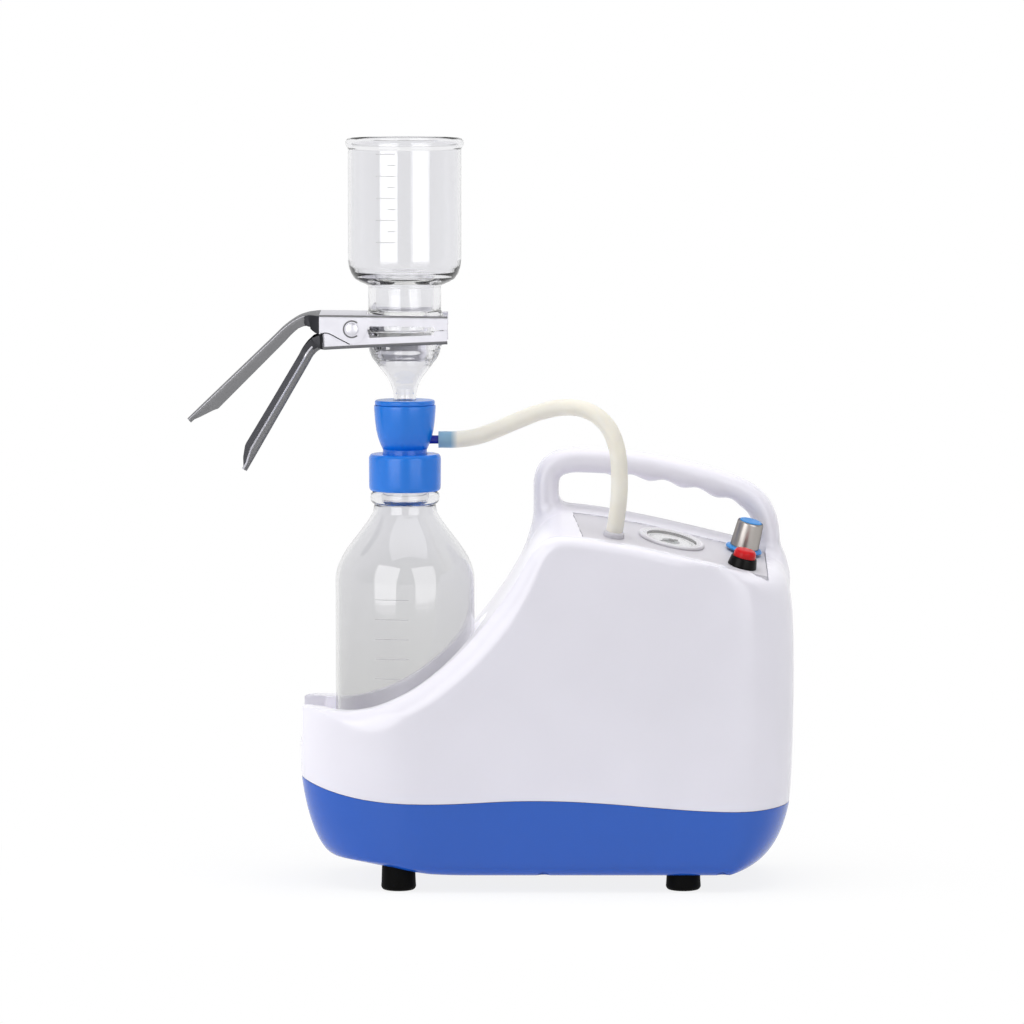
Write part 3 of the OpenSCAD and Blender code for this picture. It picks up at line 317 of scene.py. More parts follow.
# The deck rises to a soft crest and falls to both sides of it. It leans to the front.
DECK_Z, DECK_FALL, CREST_X, CREST_R = 255.3, 0.27, 100.0, 60.0
DECK_TILT, RIDGE_Y, DECK_Y0, BACK_FALL = 8.7, 38.0, -63.0, 0.3
DECK_SLOPE_Y = math.tan(math.radians(DECK_TILT))
LIP_Z, RIM_R, TIP_R, DECK_R, KEEL_R, HANDLE_Z = 128.5, 17.0, 2.5, 8.0, 9.0, 302.5
PAST = 420.0  # a height well over the case, where the lower line closes


def deck_at(x):
    """Height of the deck's front edge."""
    return DECK_Z - DECK_FALL * (np.sqrt((x - CREST_X) ** 2 + CREST_R**2) - CREST_R)


def deck_rise(y):
    """How far the deck stands over its front edge."""
    back = DECK_SLOPE_Y * (RIDGE_Y - DECK_Y0) - (y - RIDGE_Y) * BACK_FALL
    return np.where(y < DECK_Y0, 0.0, np.where(y < RIDGE_Y, DECK_SLOPE_Y * (y - DECK_Y0), back))


def rim_at(x):
    """Radius of the edge between top and sides, small at the left tip."""
    return TIP_R + (RIM_R - TIP_R) * ease((x - XL - 5) / 55)


TURN = np.array([112.0, deck_at(112.0)])
BROW = np.array([84.0, DECK_Z - 24.3])
END_DECK = np.array([XR - 22, deck_at(XR - 22)])
deck_x = np.linspace(XR + 120, TURN[0], 150, endpoint=False)
low_line = np.vstack([
    [[XL, PAST]],
    bezier([XL, 130], [XL, 120], [XL, 100], [XL, 90], 12),
    bezier([XL, 90], [XL + 0.5, 66], [XL + 10, KEEL_Z + 12], [XL + 25, KEEL_Z + 9.5], 40),
    bezier([XL + 25, KEEL_Z + 9.5], [XL + 40, KEEL_Z + 7], [XL + 75, KEEL_Z], [XL + 120, KEEL_Z], 36),
    bezier([XL + 120, KEEL_Z], [XL + 180, KEEL_Z], [XR - 106, KEEL_Z], [XR - 46, KEEL_Z], 30),
    bezier([XR - 46, KEEL_Z], [XR - 18, KEEL_Z], [XR - 7, KEEL_Z + 26], [XR - 3, KEEL_Z + 48], 40),
    bezier([XR - 3, KEEL_Z + 48], [XR - 1, 80], [XR, 120], [XR, 150], 24),
    bezier([XR, 150], [XR, 215], END_DECK + [19, -5], END_DECK, 50),
    [END_DECK, END_DECK + [-70, 34], [100, PAST]],
])
top_line = np.vstack([
    np.column_stack([deck_x, deck_at(deck_x)]),
    bezier(TURN, [97, TURN[1]], BROW + [6, 12], BROW, 40),
    bezier(BROW, BROW - [19, 35], [15, LIP_Z], [-45, LIP_Z], 90),
    bezier([-45, LIP_Z], [-58, LIP_Z], [XL + 9, LIP_Z + 2.5], [XL + 4, LIP_Z + 2], 16),
    [[XL + 4, LIP_Z + 2], [XL - 60, LIP_Z + 2]],
])
print("profile", len(low_line), "points below,", len(top_line), "above")

# %% [markdown]
# Measuring the distance to a long curve at millions of points is slow, so it is
# worked out once on a fine flat grid and read from there with a smooth cubic
# rule. The smooth rule matters: a kink in the field would show as a facet in the
# gloss of the finished surface.


# %% Flat distance maps
def cubic_shares(f):
    """Shares of four neighbours in a smooth curve, at place f between the middle two."""
    return (((2 - f) * f - 1) * f / 2, ((3 * f - 5) * f * f + 2) / 2,
            ((4 - 3 * f) * f + 1) * f / 2, (f - 1) * f * f / 2)


class FlatMap:
    """Values on a grid in the XZ plane, read back by cubic interpolation."""

    def __init__(self, x0, x1, z0, z1, step=1.5):
        self.x0, self.z0, self.step = x0, z0, step
        self.x = np.arange(x0, x1 + step / 2, step)
        self.z = np.arange(z0, z1 + step / 2, step)
        self.gx, self.gz = (g.ravel() for g in np.meshgrid(self.x, self.z, indexing="ij"))
        self.layers = {}

    def read(self, name, x, z):
        u = np.clip((x - self.x0) / self.step, 1, len(self.x) - 2.001)
        w = np.clip((z - self.z0) / self.step, 1, len(self.z) - 2.001)
        i, k = u.astype(int), w.astype(int)
        across, up = cubic_shares(u - i), cubic_shares(w - k)
        total = 0.0
        for a in range(4):
            row = (i + a - 1) * len(self.z)
            line = sum(up[b] * self.layers[name][row + k + b - 1] for b in range(4))
            total = total + across[a] * line
        return total


def measure(px, pz, line, closed=False):
    """Distance of each point to a polyline, and a number that is over 0 on its left."""
    a, b = (line, np.roll(line, -1, axis=0)) if closed else (line[:-1], line[1:])
    best = np.full(len(px), 1e18)
    seg = np.zeros(len(px), dtype=int)
    for k in range(len(a)):
        d = b[k] - a[k]
        t = np.clip(((px - a[k, 0]) * d[0] + (pz - a[k, 1]) * d[1]) / (d @ d), 0, 1)
        q = (px - a[k, 0] - t * d[0]) ** 2 + (pz - a[k, 1] - t * d[1]) ** 2
        near = q < best
        best[near], seg[near] = q[near], k
    d = b[seg] - a[seg]
    left = d[:, 0] * (pz - a[seg, 1]) - d[:, 1] * (px - a[seg, 0])
    return np.sqrt(best), left


def inside(px, pz, line):
    """True for points within a closed outline."""
    odd = np.zeros(len(px), dtype=bool)
    for (x0, z0), (x1, z1) in zip(line, np.roll(line, -1, axis=0)):
        if z0 != z1:
            odd ^= ((z0 > pz) != (z1 > pz)) & (px < (x1 - x0) * (pz - z0) / (z1 - z0) + x0)
    return odd


side_map = FlatMap(XL - 24, XR + 24, KEEL_Z - 20, DECK_Z + 50)
gap = measure(side_map.gx, side_map.gz, low_line, True)[0]
side_map.layers["low"] = np.where(inside(side_map.gx, side_map.gz, low_line), -gap, gap)
gap = measure(side_map.gx, side_map.gz, top_line)[0]
over = side_map.gz > np.interp(side_map.gx, top_line[::-1, 0], top_line[::-1, 1])
side_map.layers["top"] = np.where(over, gap, -gap)
print("side map", len(side_map.x), "by", len(side_map.z))

# %% [markdown]
# The plan of the case is a long box with elliptical ends. Near the ends the side
# profile is squeezed inwards by the plan curve, so the keel and the rim run round
# the corners in one sweep. Squeezing makes the field steeper, so it is divided by
# its own slope before it is rounded.

# %% Ends of the plan
LEFT_END, RIGHT_END, END_B = 84.0, 45.0, 58.0
LEAN_X, LEAN_RUN_X, LEAN_Z, LEAN_RUN_Z = 78, 36, 130, 100


def unsqueeze(x, y):
    """Where a point of the finished case was along the plain side profile."""
    t = np.clip((np.abs(y) - HALF_D + END_B) / END_B, 0, 0.9998)
    round_off = 1 - np.sqrt(1 - t * t)
    e, f = LEFT_END * round_off, RIGHT_END * round_off
    left, right = LEFT_END + 10, RIGHT_END + 10
    xl = XL + (x - XL - e) / (1 - e / left)
    xr = XR - (XR - x - f) / (1 - f / right)
    return np.where(x < XL + left, xl, np.where(x > XR - right, xr, x))


def deck_share(x, z):
    """How much a point takes part in the deck's lean: none at the lip, all on the deck."""
    return ease((x - LEAN_X) / LEAN_RUN_X) * ease((z - LEAN_Z) / LEAN_RUN_Z)


came_from = float(unsqueeze(XL + LEFT_END, HALF_D))
print("on the flat side, X", XL + LEFT_END, "came from X", round(came_from, 1))

# %% Body field
PROBE = 0.4  # the step over which a slope is measured
SIDE_INSET = 1.5  # slopes are read this far inside the flat sides, where they are well defined
KEEL_FADE = 25.0  # the slope counts fully at the surface and no more at this depth
BROW_X, BROW_RUN = 70, 50  # where the rim narrows from the well's edge to the deck's
SHOULDER_X, SHOULDER_RUN = 190, 20  # where the top begins to turn down to the right end
DEEPER = 1.3  # the hollow's first field is this much deeper than its wall, as it is squeezed


def rounded(a, b, r):
    """Where both fields are negative, with the edge between them rounded to radius r."""
    u, v = a + r, b + r
    return np.minimum(np.maximum(u, v), 0) + np.hypot(np.maximum(u, 0), np.maximum(v, 0)) - r


def body_parts(x, y, z):
    """True distances to the ends and keel, the top and the flat sides, and their slopes."""
    rise = deck_rise(y)
    level = z - deck_share(x, z - deck_share(x, z) * rise) * rise
    low = side_map.read("low", unsqueeze(x, y), level)
    inner = np.clip(y, SIDE_INSET - HALF_D, HALF_D - SIDE_INSET)
    here = side_map.read("low", unsqueeze(x, inner), level)
    slope = []
    for dx, dy, dz in np.eye(3) * PROBE:
        slope.append((side_map.read("low", unsqueeze(x + dx, inner + dy), level + dz) - here) / PROBE)
    slope = np.array(slope)
    size = np.maximum(np.sqrt((slope**2).sum(0)), 1e-3)
    slope /= size
    low = low / np.maximum(size, 1)
    top, ahead = side_map.read("top", x, level), side_map.read("top", x + PROBE, level)
    lean = np.clip((ahead - top) / PROBE, -1, 1)
    return low, top, np.abs(y) - HALF_D, slope, lean


def body_field(x, y, z):
    """Negative within the outer form of the case."""
    low, top, flat, slope, lean = body_parts(x, y, z)
    near = ease(1 + low / KEEL_FADE)
    sides = rounded(low, flat, KEEL_R * (1 - np.abs(slope[1]) * near))
    r = rim_at(x) + (DECK_R - RIM_R) * ease((x - BROW_X) / BROW_RUN)
    # Where end and top face the same way, as at the right end, no radius is left between them.
    along = np.clip(slope[0] * lean + slope[2] * np.sqrt(1 - lean**2), 0, 1) * near
    return rounded(sides, top, r * (1 - along * ease((x - SHOULDER_X) / SHOULDER_RUN)))


middle = np.array([[150.0], [0.0], [120.0]])
print("the middle of the case lies", round(-float(body_field(*middle)[0]), 1), "mm deep")


# %% Hollow, joints and cuts
def hollow_field(x, y, z, depth):
    """The space inside. The second field keeps the wall from thinning at the squeezed corners."""
    across = y + np.clip(y, -1, 1) * (depth + 1)
    return np.maximum(body_field(x, y, z) + DEEPER * depth, body_field(x, across, z))


def join(a, b, k):
    """The smaller of two fields, with a fillet about k millimetres wide."""
    h = np.maximum(k - np.abs(a - b), 0) / k
    return np.minimum(a, b) - h * h * k / 4


def meet(a, b, k):
    """The larger of two fields, with the edge rounded by about k millimetres."""
    return -join(-a, -b, k)


def cut(a, b, k):
    """Field a without field b, with the edge rounded by about k millimetres."""
    return -join(-a, b, k)


print("two fields of 0, joined over 12 mm, give", join(0.0, 0.0, 12.0), "mm")

# %% [markdown]
# The handle is one bar that leaves the deck at the left, bends over and falls to
# the right end. Waves on its underside are the finger grips. Where the bar meets
# the deck, the rounded minimum gives the flared foot of a moulded handle.

# %% Handle field
HANDLE_X, HANDLE_T, HANDLE_W, HANDLE_Y = 102.0, 18.4, 27.0, 25.0
GRIP_DEPTH, GRIP_PITCH, GRIP_FROM, GRIP_TO, GRIP_RUN, GRIP_CREST = 1.3, 24.0, 140.0, 248.0, 12.0, 152.0
SECTION_POWER = 2.5  # 2 would be an ellipse; more is nearer to a rounded box
HX, HZ = HANDLE_X, HANDLE_Z
bar = np.vstack([
    bezier([HX, DECK_Z - 14], [HX, DECK_Z], [HX, DECK_Z + 10], [HX, HZ - 19], 12),
    bezier([HX, HZ - 19], [HX, HZ - 4], [112, HZ], [126, HZ], 24),
    bezier([126, HZ], [165, HZ - 1], [205, HZ - 8.5], [236, HZ - 20], 40),
    bezier([236, HZ - 20], [252, HZ - 26], [XR - 19, HZ - 35], [XR - 18, HZ - 55], 24),
    bezier([XR - 18, HZ - 55], [XR - 17.5, HZ - 62], [XR - 16, HZ - 70], [XR - 15, HZ - 82], 12),
    [[XR - 15, HZ - 82]],
])
bar_map = FlatMap(60, XR + 24, DECK_Z - 60, HANDLE_Z + 30)
gap, left = measure(bar_map.gx, bar_map.gz, bar)
bar_map.layers["offset"] = np.where(left > 0, gap, -gap)


def handle_field(x, y, z):
    q = bar_map.read("offset", x, z)
    fade = GRIP_DEPTH * ease((x - GRIP_FROM) / GRIP_RUN) * ease((GRIP_TO - x) / GRIP_RUN)
    grip = fade * np.cos(2 * math.pi * (x - GRIP_CREST) / GRIP_PITCH)
    a = HANDLE_T / 2 + np.where(q < 0, grip, 0)
    b, p = HANDLE_W / 2, SECTION_POWER
    u, v = np.abs(q) / a, np.abs(y - HANDLE_Y) / b
    rho = np.maximum((u**p + v**p) ** (1 / p), 1e-6)
    slope = np.hypot(u ** (p - 1) / a, v ** (p - 1) / b) * rho ** (1 - p)
    return (rho - 1) / np.maximum(slope, 1 / 16)


print("handle line", len(bar), "points")

# %% [markdown]
# The housing ends below in the seam, a soft wave along the case. On the deck lie
# the seat of the control panel and the holes of its fittings, square to the
# slope. The well is a round pit that is drawn out to the left.

# %% Seam, well and deck
WELL_Z, WELL_R, WELL_RUN = 80.0, 57.0, 10.0
PANEL_CORNERS = np.array([[121.0, 10.0], [128.0, -59.0], [XR - 20, -59.0], [XR - 20, 10.0]])
GAUGE, KNOB, BUTTON, FITTING = (192.0, 19.0), (244.0, 3.0), (242.0, 46.0), (150.0, 43.0)
DECK_HOLES = [(*GAUGE, 20.5), (*KNOB, 5.0), (*BUTTON, 9.2), (*FITTING, 4.5)]
seam_line = np.vstack([
    bezier([XL - 5, 81], [XL + 20, 70], [-30, 64.5], [10, 64], 40),
    bezier([10, 64], [45, 63.6], [60, 66.5], [93, 66.5], 30),
    bezier([93, 66.5], [XR - 130, 66.5], [XR - 90, 58.5], [XR - 40, 58.5], 40),
    bezier([XR - 40, 58.5], [XR - 25, 58.5], [XR - 10, 59.5], [XR + 5, 61.5], 20),
    [[XR + 5, 61.5]],
])


def seam_at(x):
    return np.interp(x, seam_line[:, 0], seam_line[:, 1])


def well_field(x, y, z, grow=0.0, floor=WELL_Z):
    """Negative inside the space of the bottle's well."""
    dx = x - np.clip(x, -WELL_RUN, 0)
    return meet(np.hypot(dx, y) - WELL_R - grow, floor - z, 3.0)


def box_field(x, y, z, low, high):
    return np.max([low[0] - x, x - high[0], low[1] - y, y - high[1], low[2] - z, z - high[2]], axis=0)


def post_field(x, y, at, r):
    """Distance past an upright round post."""
    return np.hypot(x - at[0], y - at[1]) - r


def panel_plan(x, y, grow=0.0):
    """Distance past the outline of the control panel, seen from above."""
    out = -1e9
    for a, b in zip(PANEL_CORNERS, np.roll(PANEL_CORNERS, -1, axis=0)):
        d = (b - a) / np.linalg.norm(b - a)
        out = np.maximum(out, (x - a[0]) * d[1] - (y - a[1]) * d[0] - grow)
    return out


def above_deck(x, y, z):
    """Height over the front slope of the deck, square to it."""
    return (z - deck_at(x) - DECK_SLOPE_Y * (y - DECK_Y0)) * math.cos(math.radians(DECK_TILT))


def deck_place(x, front):
    """Foot and normal of a fitting on the deck, front millimetres before the middle."""
    tilt = math.radians(DECK_TILT)
    slope = -DECK_FALL * (x - CREST_X) / math.sqrt((x - CREST_X) ** 2 + CREST_R**2)
    lean = math.atan(slope * math.cos(tilt))
    normal = np.array([-math.sin(lean), -math.sin(tilt) * math.cos(lean), math.cos(tilt) * math.cos(lean)])
    return np.array([x, -front, float(deck_at(x) + deck_rise(np.array(-front)))]), normal


print("the gauge stands at", deck_place(*GAUGE)[0].round(1).tolist())

# %% [markdown]
# The housing is a shell: the outer form with the handle, less a hollow that keeps
# clear of the bottle's well, the seat of the control panel and the screw bosses.
# A real wall is 3 mm; the hollow here starts 1 mm deeper, so that the net of
# points between outer and inner wall stays clear of both.

# %% Housing field
WALL, NOTCH_W, NOTCH_Z, SEAT_DEPTH, HANDLE_FILLET = 4.0, 64.0, 104.0, 3.8, 12.0
DRIVE_X = XR - 188
BOSS_Y, BOSS_R = HALF_D - 7, 5.0
BOSSES = [(x, s * y) for x, y in ((-30, 38), (DRIVE_X + 8, BOSS_Y), (XR - 52, BOSS_Y)) for s in (1, -1)]
INLET_X, INLET_HALF, INLET_LOW, INLET_TOP = 196.0, 14.0, 85.5, 106.5
VENTS, VENT_PITCH, VENT_W, VENT_LOW, VENT_TOP = 7, 11, 5, 96, 134
BEHIND = HALF_D + 9  # past the back face
HOLE_DEPTH, WELL_EDGE, CUT_EDGE = 20, 2.2, 1.6


def housing_field(x, y, z):
    out = join(body_field(x, y, z), handle_field(x, y, z), HANDLE_FILLET)
    hollow = hollow_field(x, y, z, WALL)
    hollow = np.maximum(hollow, -well_field(x, y, z, WALL, WELL_Z - WALL))
    notch = box_field(x, y, z, (XL - 9, -NOTCH_W / 2, NOTCH_Z), (XL + 45, NOTCH_W / 2, 200))
    hollow = np.maximum(hollow, WALL - notch)
    pocket = np.maximum(panel_plan(x, y, WALL), -above_deck(x, y, z) - SEAT_DEPTH - WALL)
    hollow = np.maximum(hollow, -pocket)
    for at in BOSSES:
        hollow = np.maximum(hollow, -post_field(x, y, at, BOSS_R))
    out = np.maximum(out, -hollow)
    out = cut(out, well_field(x, y, z), WELL_EDGE)
    out = cut(out, notch, CUT_EDGE)
    recess = np.maximum(panel_plan(x, y), -above_deck(x, y, z) - SEAT_DEPTH)
    out = cut(out, recess, CUT_EDGE)
    for hx, front, r in DECK_HOLES:
        foot, normal = deck_place(hx, front)
        d = np.stack([x - foot[0], y - foot[1], z - foot[2]])
        along = np.tensordot(normal, d, 1)
        reach = np.sqrt(np.maximum((d * d).sum(0) - along**2, 0))
        out = np.maximum(out, -np.maximum(reach - r, np.abs(along) - HOLE_DEPTH))
    inlet = (INLET_X - INLET_HALF, HALF_D - 12, INLET_LOW), (INLET_X + INLET_HALF, BEHIND, INLET_TOP)
    out = np.maximum(out, -box_field(x, y, z, *inlet))
    for k in range(VENTS):
        low = DRIVE_X + 4 + VENT_PITCH * k
        slot = box_field(x, y, z, (low, HALF_D - 10, VENT_LOW), (low + VENT_W, BEHIND, VENT_TOP))
        out = np.maximum(out, -slot)
    return np.maximum(out, seam_at(x) - z)


print("housing with", len(BOSSES), "bosses,", len(DECK_HOLES), "holes and", VENTS, "vents")

# %% [markdown]
# A field becomes a mesh by dual contouring. Space is cut into small cubes. On
# each cube edge that crosses the surface, the exact crossing and the surface's
# slope there are found. Each cube then gets one point, placed where those slopes
# agree best, and cubes round an edge are joined by a four-sided face. Smooth
# walls come out even, and true edges such as the seam stay sharp. A remesh of
# joined primitives would be quicker to write, but it rounds those edges away.

# %% Edges that cross the surface
# The four cubes round an edge along X, Y and Z, as steps back from its start.
AROUND = (
    ((0, 0, 0), (0, -1, 0), (0, -1, -1), (0, 0, -1)),
    ((0, 0, 0), (0, 0, -1), (-1, 0, -1), (-1, 0, 0)),
    ((0, 0, 0), (-1, 0, 0), (-1, -1, 0), (0, -1, 0)),
)
NORMAL_PROBE = 0.12  # half the step over which a slope is measured
NEAR_END = 0.02  # a guess keeps this share of the edge away from both known ends


def crossings(field, values, axes, step, axis):
    """Edges along one axis that cross the surface: their starts, crossings and slopes there."""
    within = values < 0
    lo, hi = [slice(None)] * 3, [slice(None)] * 3
    lo[axis], hi[axis] = slice(0, -1), slice(1, None)
    start = np.argwhere(within[tuple(lo)] != within[tuple(hi)])
    end = start.copy()
    end[:, axis] += 1
    corner = np.column_stack([axes[k][start[:, k]] for k in range(3)])
    a, b = np.zeros(len(start)), np.ones(len(start))
    fa, fb = values[tuple(start.T)], values[tuple(end.T)]
    for turn in range(5):
        t = np.clip(a + (b - a) * fa / (fa - fb), a + NEAR_END * (b - a), b - NEAR_END * (b - a))
        if turn == 2:
            t = (a + b) / 2
        p = corner.copy()
        p[:, axis] += t * step
        f = field(*p.T)
        same = (f < 0) == (fa < 0)
        a, fa = np.where(same, t, a), np.where(same, f, fa)
        b, fb = np.where(same, b, t), np.where(same, fb, f)
    p = corner.copy()
    p[:, axis] += (a + (b - a) * fa / (fa - fb)) * step
    n = np.column_stack([field(*(p + d).T) - field(*(p - d).T) for d in np.eye(3) * NORMAL_PROBE])
    n /= np.maximum(np.linalg.norm(n, axis=1), 1e-9)[:, None]
    return start, p, n


print("cubes round an edge", len(AROUND[0]))

# %% One point in each cube
PULL = 0.05  # how strongly the middle of the crossings draws the point on flat walls
SLACK = 0.1  # how far a point may leave its cube, as a share of its width


def settle(quads, m, crossing, normal):
    """The best point of each of m cubes, from the crossings and slopes on its edges."""
    gather = lambda v: sum(np.bincount(quads[:, k], weights=v, minlength=m) for k in range(4))
    count = np.bincount(quads.ravel(), minlength=m).astype(float)
    middle = np.column_stack([gather(crossing[:, k]) for k in range(3)]) / count[:, None]
    push = (normal * crossing).sum(1)
    A = np.empty((m, 3, 3))
    rhs = np.empty((m, 3))
    for i in range(3):
        for j in range(i, 3):
            A[:, i, j] = A[:, j, i] = gather(normal[:, i] * normal[:, j])
        rhs[:, i] = gather(normal[:, i] * push)
    rhs -= np.einsum("mij,mj->mi", A, middle)
    A[:, range(3), range(3)] += PULL * count[:, None] / 4
    return middle + np.linalg.solve(A, rhs[:, :, None])[:, :, 0]


print("pull", PULL, "slack", SLACK)


# %% The surface of a field
def contour(field, low, high, step):
    """Points and four-sided faces of the surface where the field is zero."""
    axes = [np.arange(a, b + step, step) for a, b in zip(low, high)]
    size = [len(a) for a in axes]
    values = np.empty(size)
    for i, x in enumerate(axes[0]):
        y, z = np.meshgrid(axes[1], axes[2], indexing="ij")
        values[i] = field(np.full(y.size, x), y.ravel(), z.ravel()).reshape(y.shape)
    found = [crossings(field, values, axes, step, axis) for axis in range(3)]
    start, crossing, normal = (np.vstack(part) for part in zip(*found))
    stride = np.array([size[1] * size[2], size[2], 1])
    corner = np.vstack([np.column_stack([(found[axis][0] + shift) @ stride for shift in AROUND[axis]])
        for axis in range(3)])
    used, where = np.unique(corner.ravel(), return_inverse=True)
    quads = where.reshape(-1, 4)
    points = settle(quads, len(used), crossing, normal)
    base = np.column_stack([used // stride[0], used // stride[1] % size[1], used % size[2]])
    floor = np.array([a[0] for a in axes]) + base * step
    points = np.clip(points, floor - SLACK * step, floor + (1 + SLACK) * step)
    starts_within = values[tuple(start.T)] < 0
    faces = np.where(starts_within[:, None], quads[:, ::-1], quads)
    print("contour", values.size, "cubes,", len(points), "points,", len(faces), "faces")
    return points, faces


CASE_EDGE = 32.0


def moulding(name, field, low, high, step, node):
    """The piece that a field describes. It stands for a CAD node that rides on the root body."""
    points, faces = contour(field, low, high, step)
    mesh = bpy.data.meshes.new(name)
    mesh.vertices.add(len(points))
    mesh.vertices.foreach_set("co", to_frame(points).ravel())
    mesh.loops.add(faces.size)
    mesh.loops.foreach_set("vertex_index", faces.ravel())
    mesh.polygons.add(len(faces))
    mesh.polygons.foreach_set("loop_start", np.arange(0, faces.size, 4))
    mesh.update(calc_edges=True)
    mesh.validate()
    obj = smooth_object(name, mesh, CASE_EDGE)
    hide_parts(node)
    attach(obj, "root")
    return obj


print("edges over", CASE_EDGE, "degrees stay sharp")

# %% Housing
# The fine step keeps each moulding under 200,000 triangles.
FINE = 2.3
SPACE = 3.0  # the searched space reaches this far past the case
START = XL - SPACE, -HALF_D - SPACE
END = XR + SPACE, HALF_D + SPACE
housing = moulding("abs_housing", housing_field, (*START, 54), (*END, HANDLE_Z + 13), FINE,
    "upper_housing")

# %% [markdown]
# The tray closes the case from below. It is the same outer form, cut under the
# seam with a fine gap, with a floor, four seats over the feet, four stands for
# the pump's rubber mounts and six bosses for the screws that hold the housing.

# %% Tray
SEAM_GAP = 0.3
FEET = [(x, y) for x in (XL + 71, XR - 80) for y in (-60.0, 60.0)]
STANDS = [(x, y) for x in (DRIVE_X, DRIVE_X + 140) for y in (-42.0, 42.0)]
SEAT_R, SEAT_TOP = 13.0, 24
STAND_R, STAND_TOP, STAND_FOOT = 11, 34, 14
PILLAR_R, PILLAR_TOP = 9, 53.2
SINK_R, SINK_TOP = 4.6, 22


def tray_field(x, y, z):
    out = body_field(x, y, z)
    shell = np.maximum(out, -hollow_field(x, y, z, WALL))
    shell = np.maximum(shell, z - seam_at(x) + SEAM_GAP)
    for at in FEET:
        seat = np.maximum(post_field(x, y, at, SEAT_R), z - SEAT_TOP)
        shell = np.minimum(shell, np.maximum(seat, out))
    for at in STANDS:
        height = np.maximum(z - STAND_TOP, STAND_FOOT - z)
        shell = np.minimum(shell, np.maximum(post_field(x, y, at, STAND_R), height))
    for at in BOSSES:
        pillar = np.maximum(post_field(x, y, at, PILLAR_R), z - PILLAR_TOP)
        shell = np.minimum(shell, np.maximum(pillar, out))
    for at in BOSSES:
        shell = np.maximum(shell, -np.maximum(post_field(x, y, at, SINK_R), z - SINK_TOP))
    return shell


tray = moulding("abs_tray", tray_field, (*START, KEEL_Z - SPACE), (*END, 88), FINE, "base_tray")

# %% [markdown]
# ## Light and floor
# A catalogue view has soft light from all round. The world is white to the eye,
# and in metal and glass it darkens behind the camera, which draws their edges.
# The light it gives the object is kept lower, so a colour renders about as it is
# written. The Light Path node tells these kinds of ray apart.

# %% World
AMBIENT, ROOM = 0.285, 0.35  # strength as soft light, and in reflections behind the camera
world = bpy.data.worlds.new("studio")
bpy.context.scene.world = world
world.use_nodes = True
t = world.node_tree
rays = add(t, "ShaderNodeLightPath").outputs
eye = rays["Is Camera Ray"]
clear = maths(t, "MAXIMUM", rays["Is Glossy Ray"], rays["Is Transmission Ray"])
way = add(t, "ShaderNodeTexCoord").outputs["Generated"]
depth = add(t, "ShaderNodeSeparateXYZ", i0=way).outputs["Y"]
room = add(t, "ShaderNodeMapRange", i0=depth, From_Min=-0.45, From_Max=0.15, To_Min=ROOM, To_Max=1.0)
bright = maths(t, "MAXIMUM", maths(t, "MULTIPLY", clear, room.outputs[0]), eye)
soft = maths(t, "MULTIPLY", maths(t, "SUBTRACT", 1.0, maths(t, "MAXIMUM", clear, eye)), AMBIENT)
feed(t.nodes["Background"], Color=WHITE, Strength=maths(t, "ADD", bright, soft))
print("world", len(t.nodes), "nodes")

# %% [markdown]
# The floor is a sheet of matt paper that runs out of sight. To the eye it glows
# white at some distance from the object, as the world does, so no horizon shows.
# Close to the object more of the paper itself is seen, with a soft shadow on it.

# %% Floor
FLOOR_HALF = 60.0
SHADOW_IN, SHADOW_OUT, GLOW_IN = 0.2, 0.4, 0.85
floor_mesh = bpy.data.meshes.new("floor")
corners = [(x * FLOOR_HALF, y * FLOOR_HALF, 0) for x, y in ((-1, -1), (1, -1), (1, 1), (-1, 1))]
floor_mesh.from_pydata(corners, [], [(0, 1, 2, 3)])
floor = link(bpy.data.objects.new("floor", floor_mesh))
# Uncoated paper: white and quite matt.
paper, t, shader = material("matt_paper_sweep", Base_Color=rgb("FAFAFB"), Roughness=0.9,
    Specular_IOR_Level=0.2)
away = add(t, "ShaderNodeVectorMath", {"operation": "LENGTH"}, i0=place_on_piece(t)).outputs["Value"]
far = add(t, "ShaderNodeMapRange", i0=away, From_Min=SHADOW_IN, From_Max=SHADOW_OUT,
    To_Min=GLOW_IN, To_Max=1.0)
rays = add(t, "ShaderNodeLightPath").outputs
seen = maths(t, "MAXIMUM", rays["Is Camera Ray"], rays["Is Transmission Ray"])
share = maths(t, "MULTIPLY", maths(t, "MAXIMUM", seen, rays["Is Glossy Ray"]), far.outputs[0])
white = add(t, "ShaderNodeEmission", Color=WHITE, Strength=1.0)
mixed = add(t, "ShaderNodeMixShader", i0=share, i1=shader.outputs[0], i2=white.outputs[0])
feed(t.nodes["Material Output"], Surface=mixed.outputs[0])
floor_mesh.materials.append(paper)
print("floor", 2 * FLOOR_HALF, "m wide")

# %% [markdown]
# Two tall soft boxes beside the camera draw the bright bands in glass, gloss and
# metal. Three fill lamps and a top panel light the colours. Each lamp is hidden
# from the kinds of ray that it isn't meant for.

# %% Soft boxes
AIM_LIGHT = np.array([0.0, 0.0, 0.27])
LAMPS = (
    # name, azimuth (0 is the camera's side), elevation, distance, width, height, watts, hidden from
    ("soft_box_left", -34, 17, 1.7, 1.2, 1.44, 16, ["diffuse"]),
    ("soft_box_right", 34, 17, 1.7, 1.2, 1.44, 13, ["diffuse"]),
    ("fill_left", -84, 20, 1.8, 1.4, 1.6, 16, ["glossy", "transmission"]),
    ("fill_right", 66, 30, 1.8, 1.4, 1.6, 4, ["glossy", "transmission"]),
    ("fill_front", -10, 36, 1.9, 1.5, 1.2, 1.8, ["glossy", "transmission"]),
    ("top_panel", 10, 84, 1.6, 1.8, 1.6, 25, ["glossy"]),
)


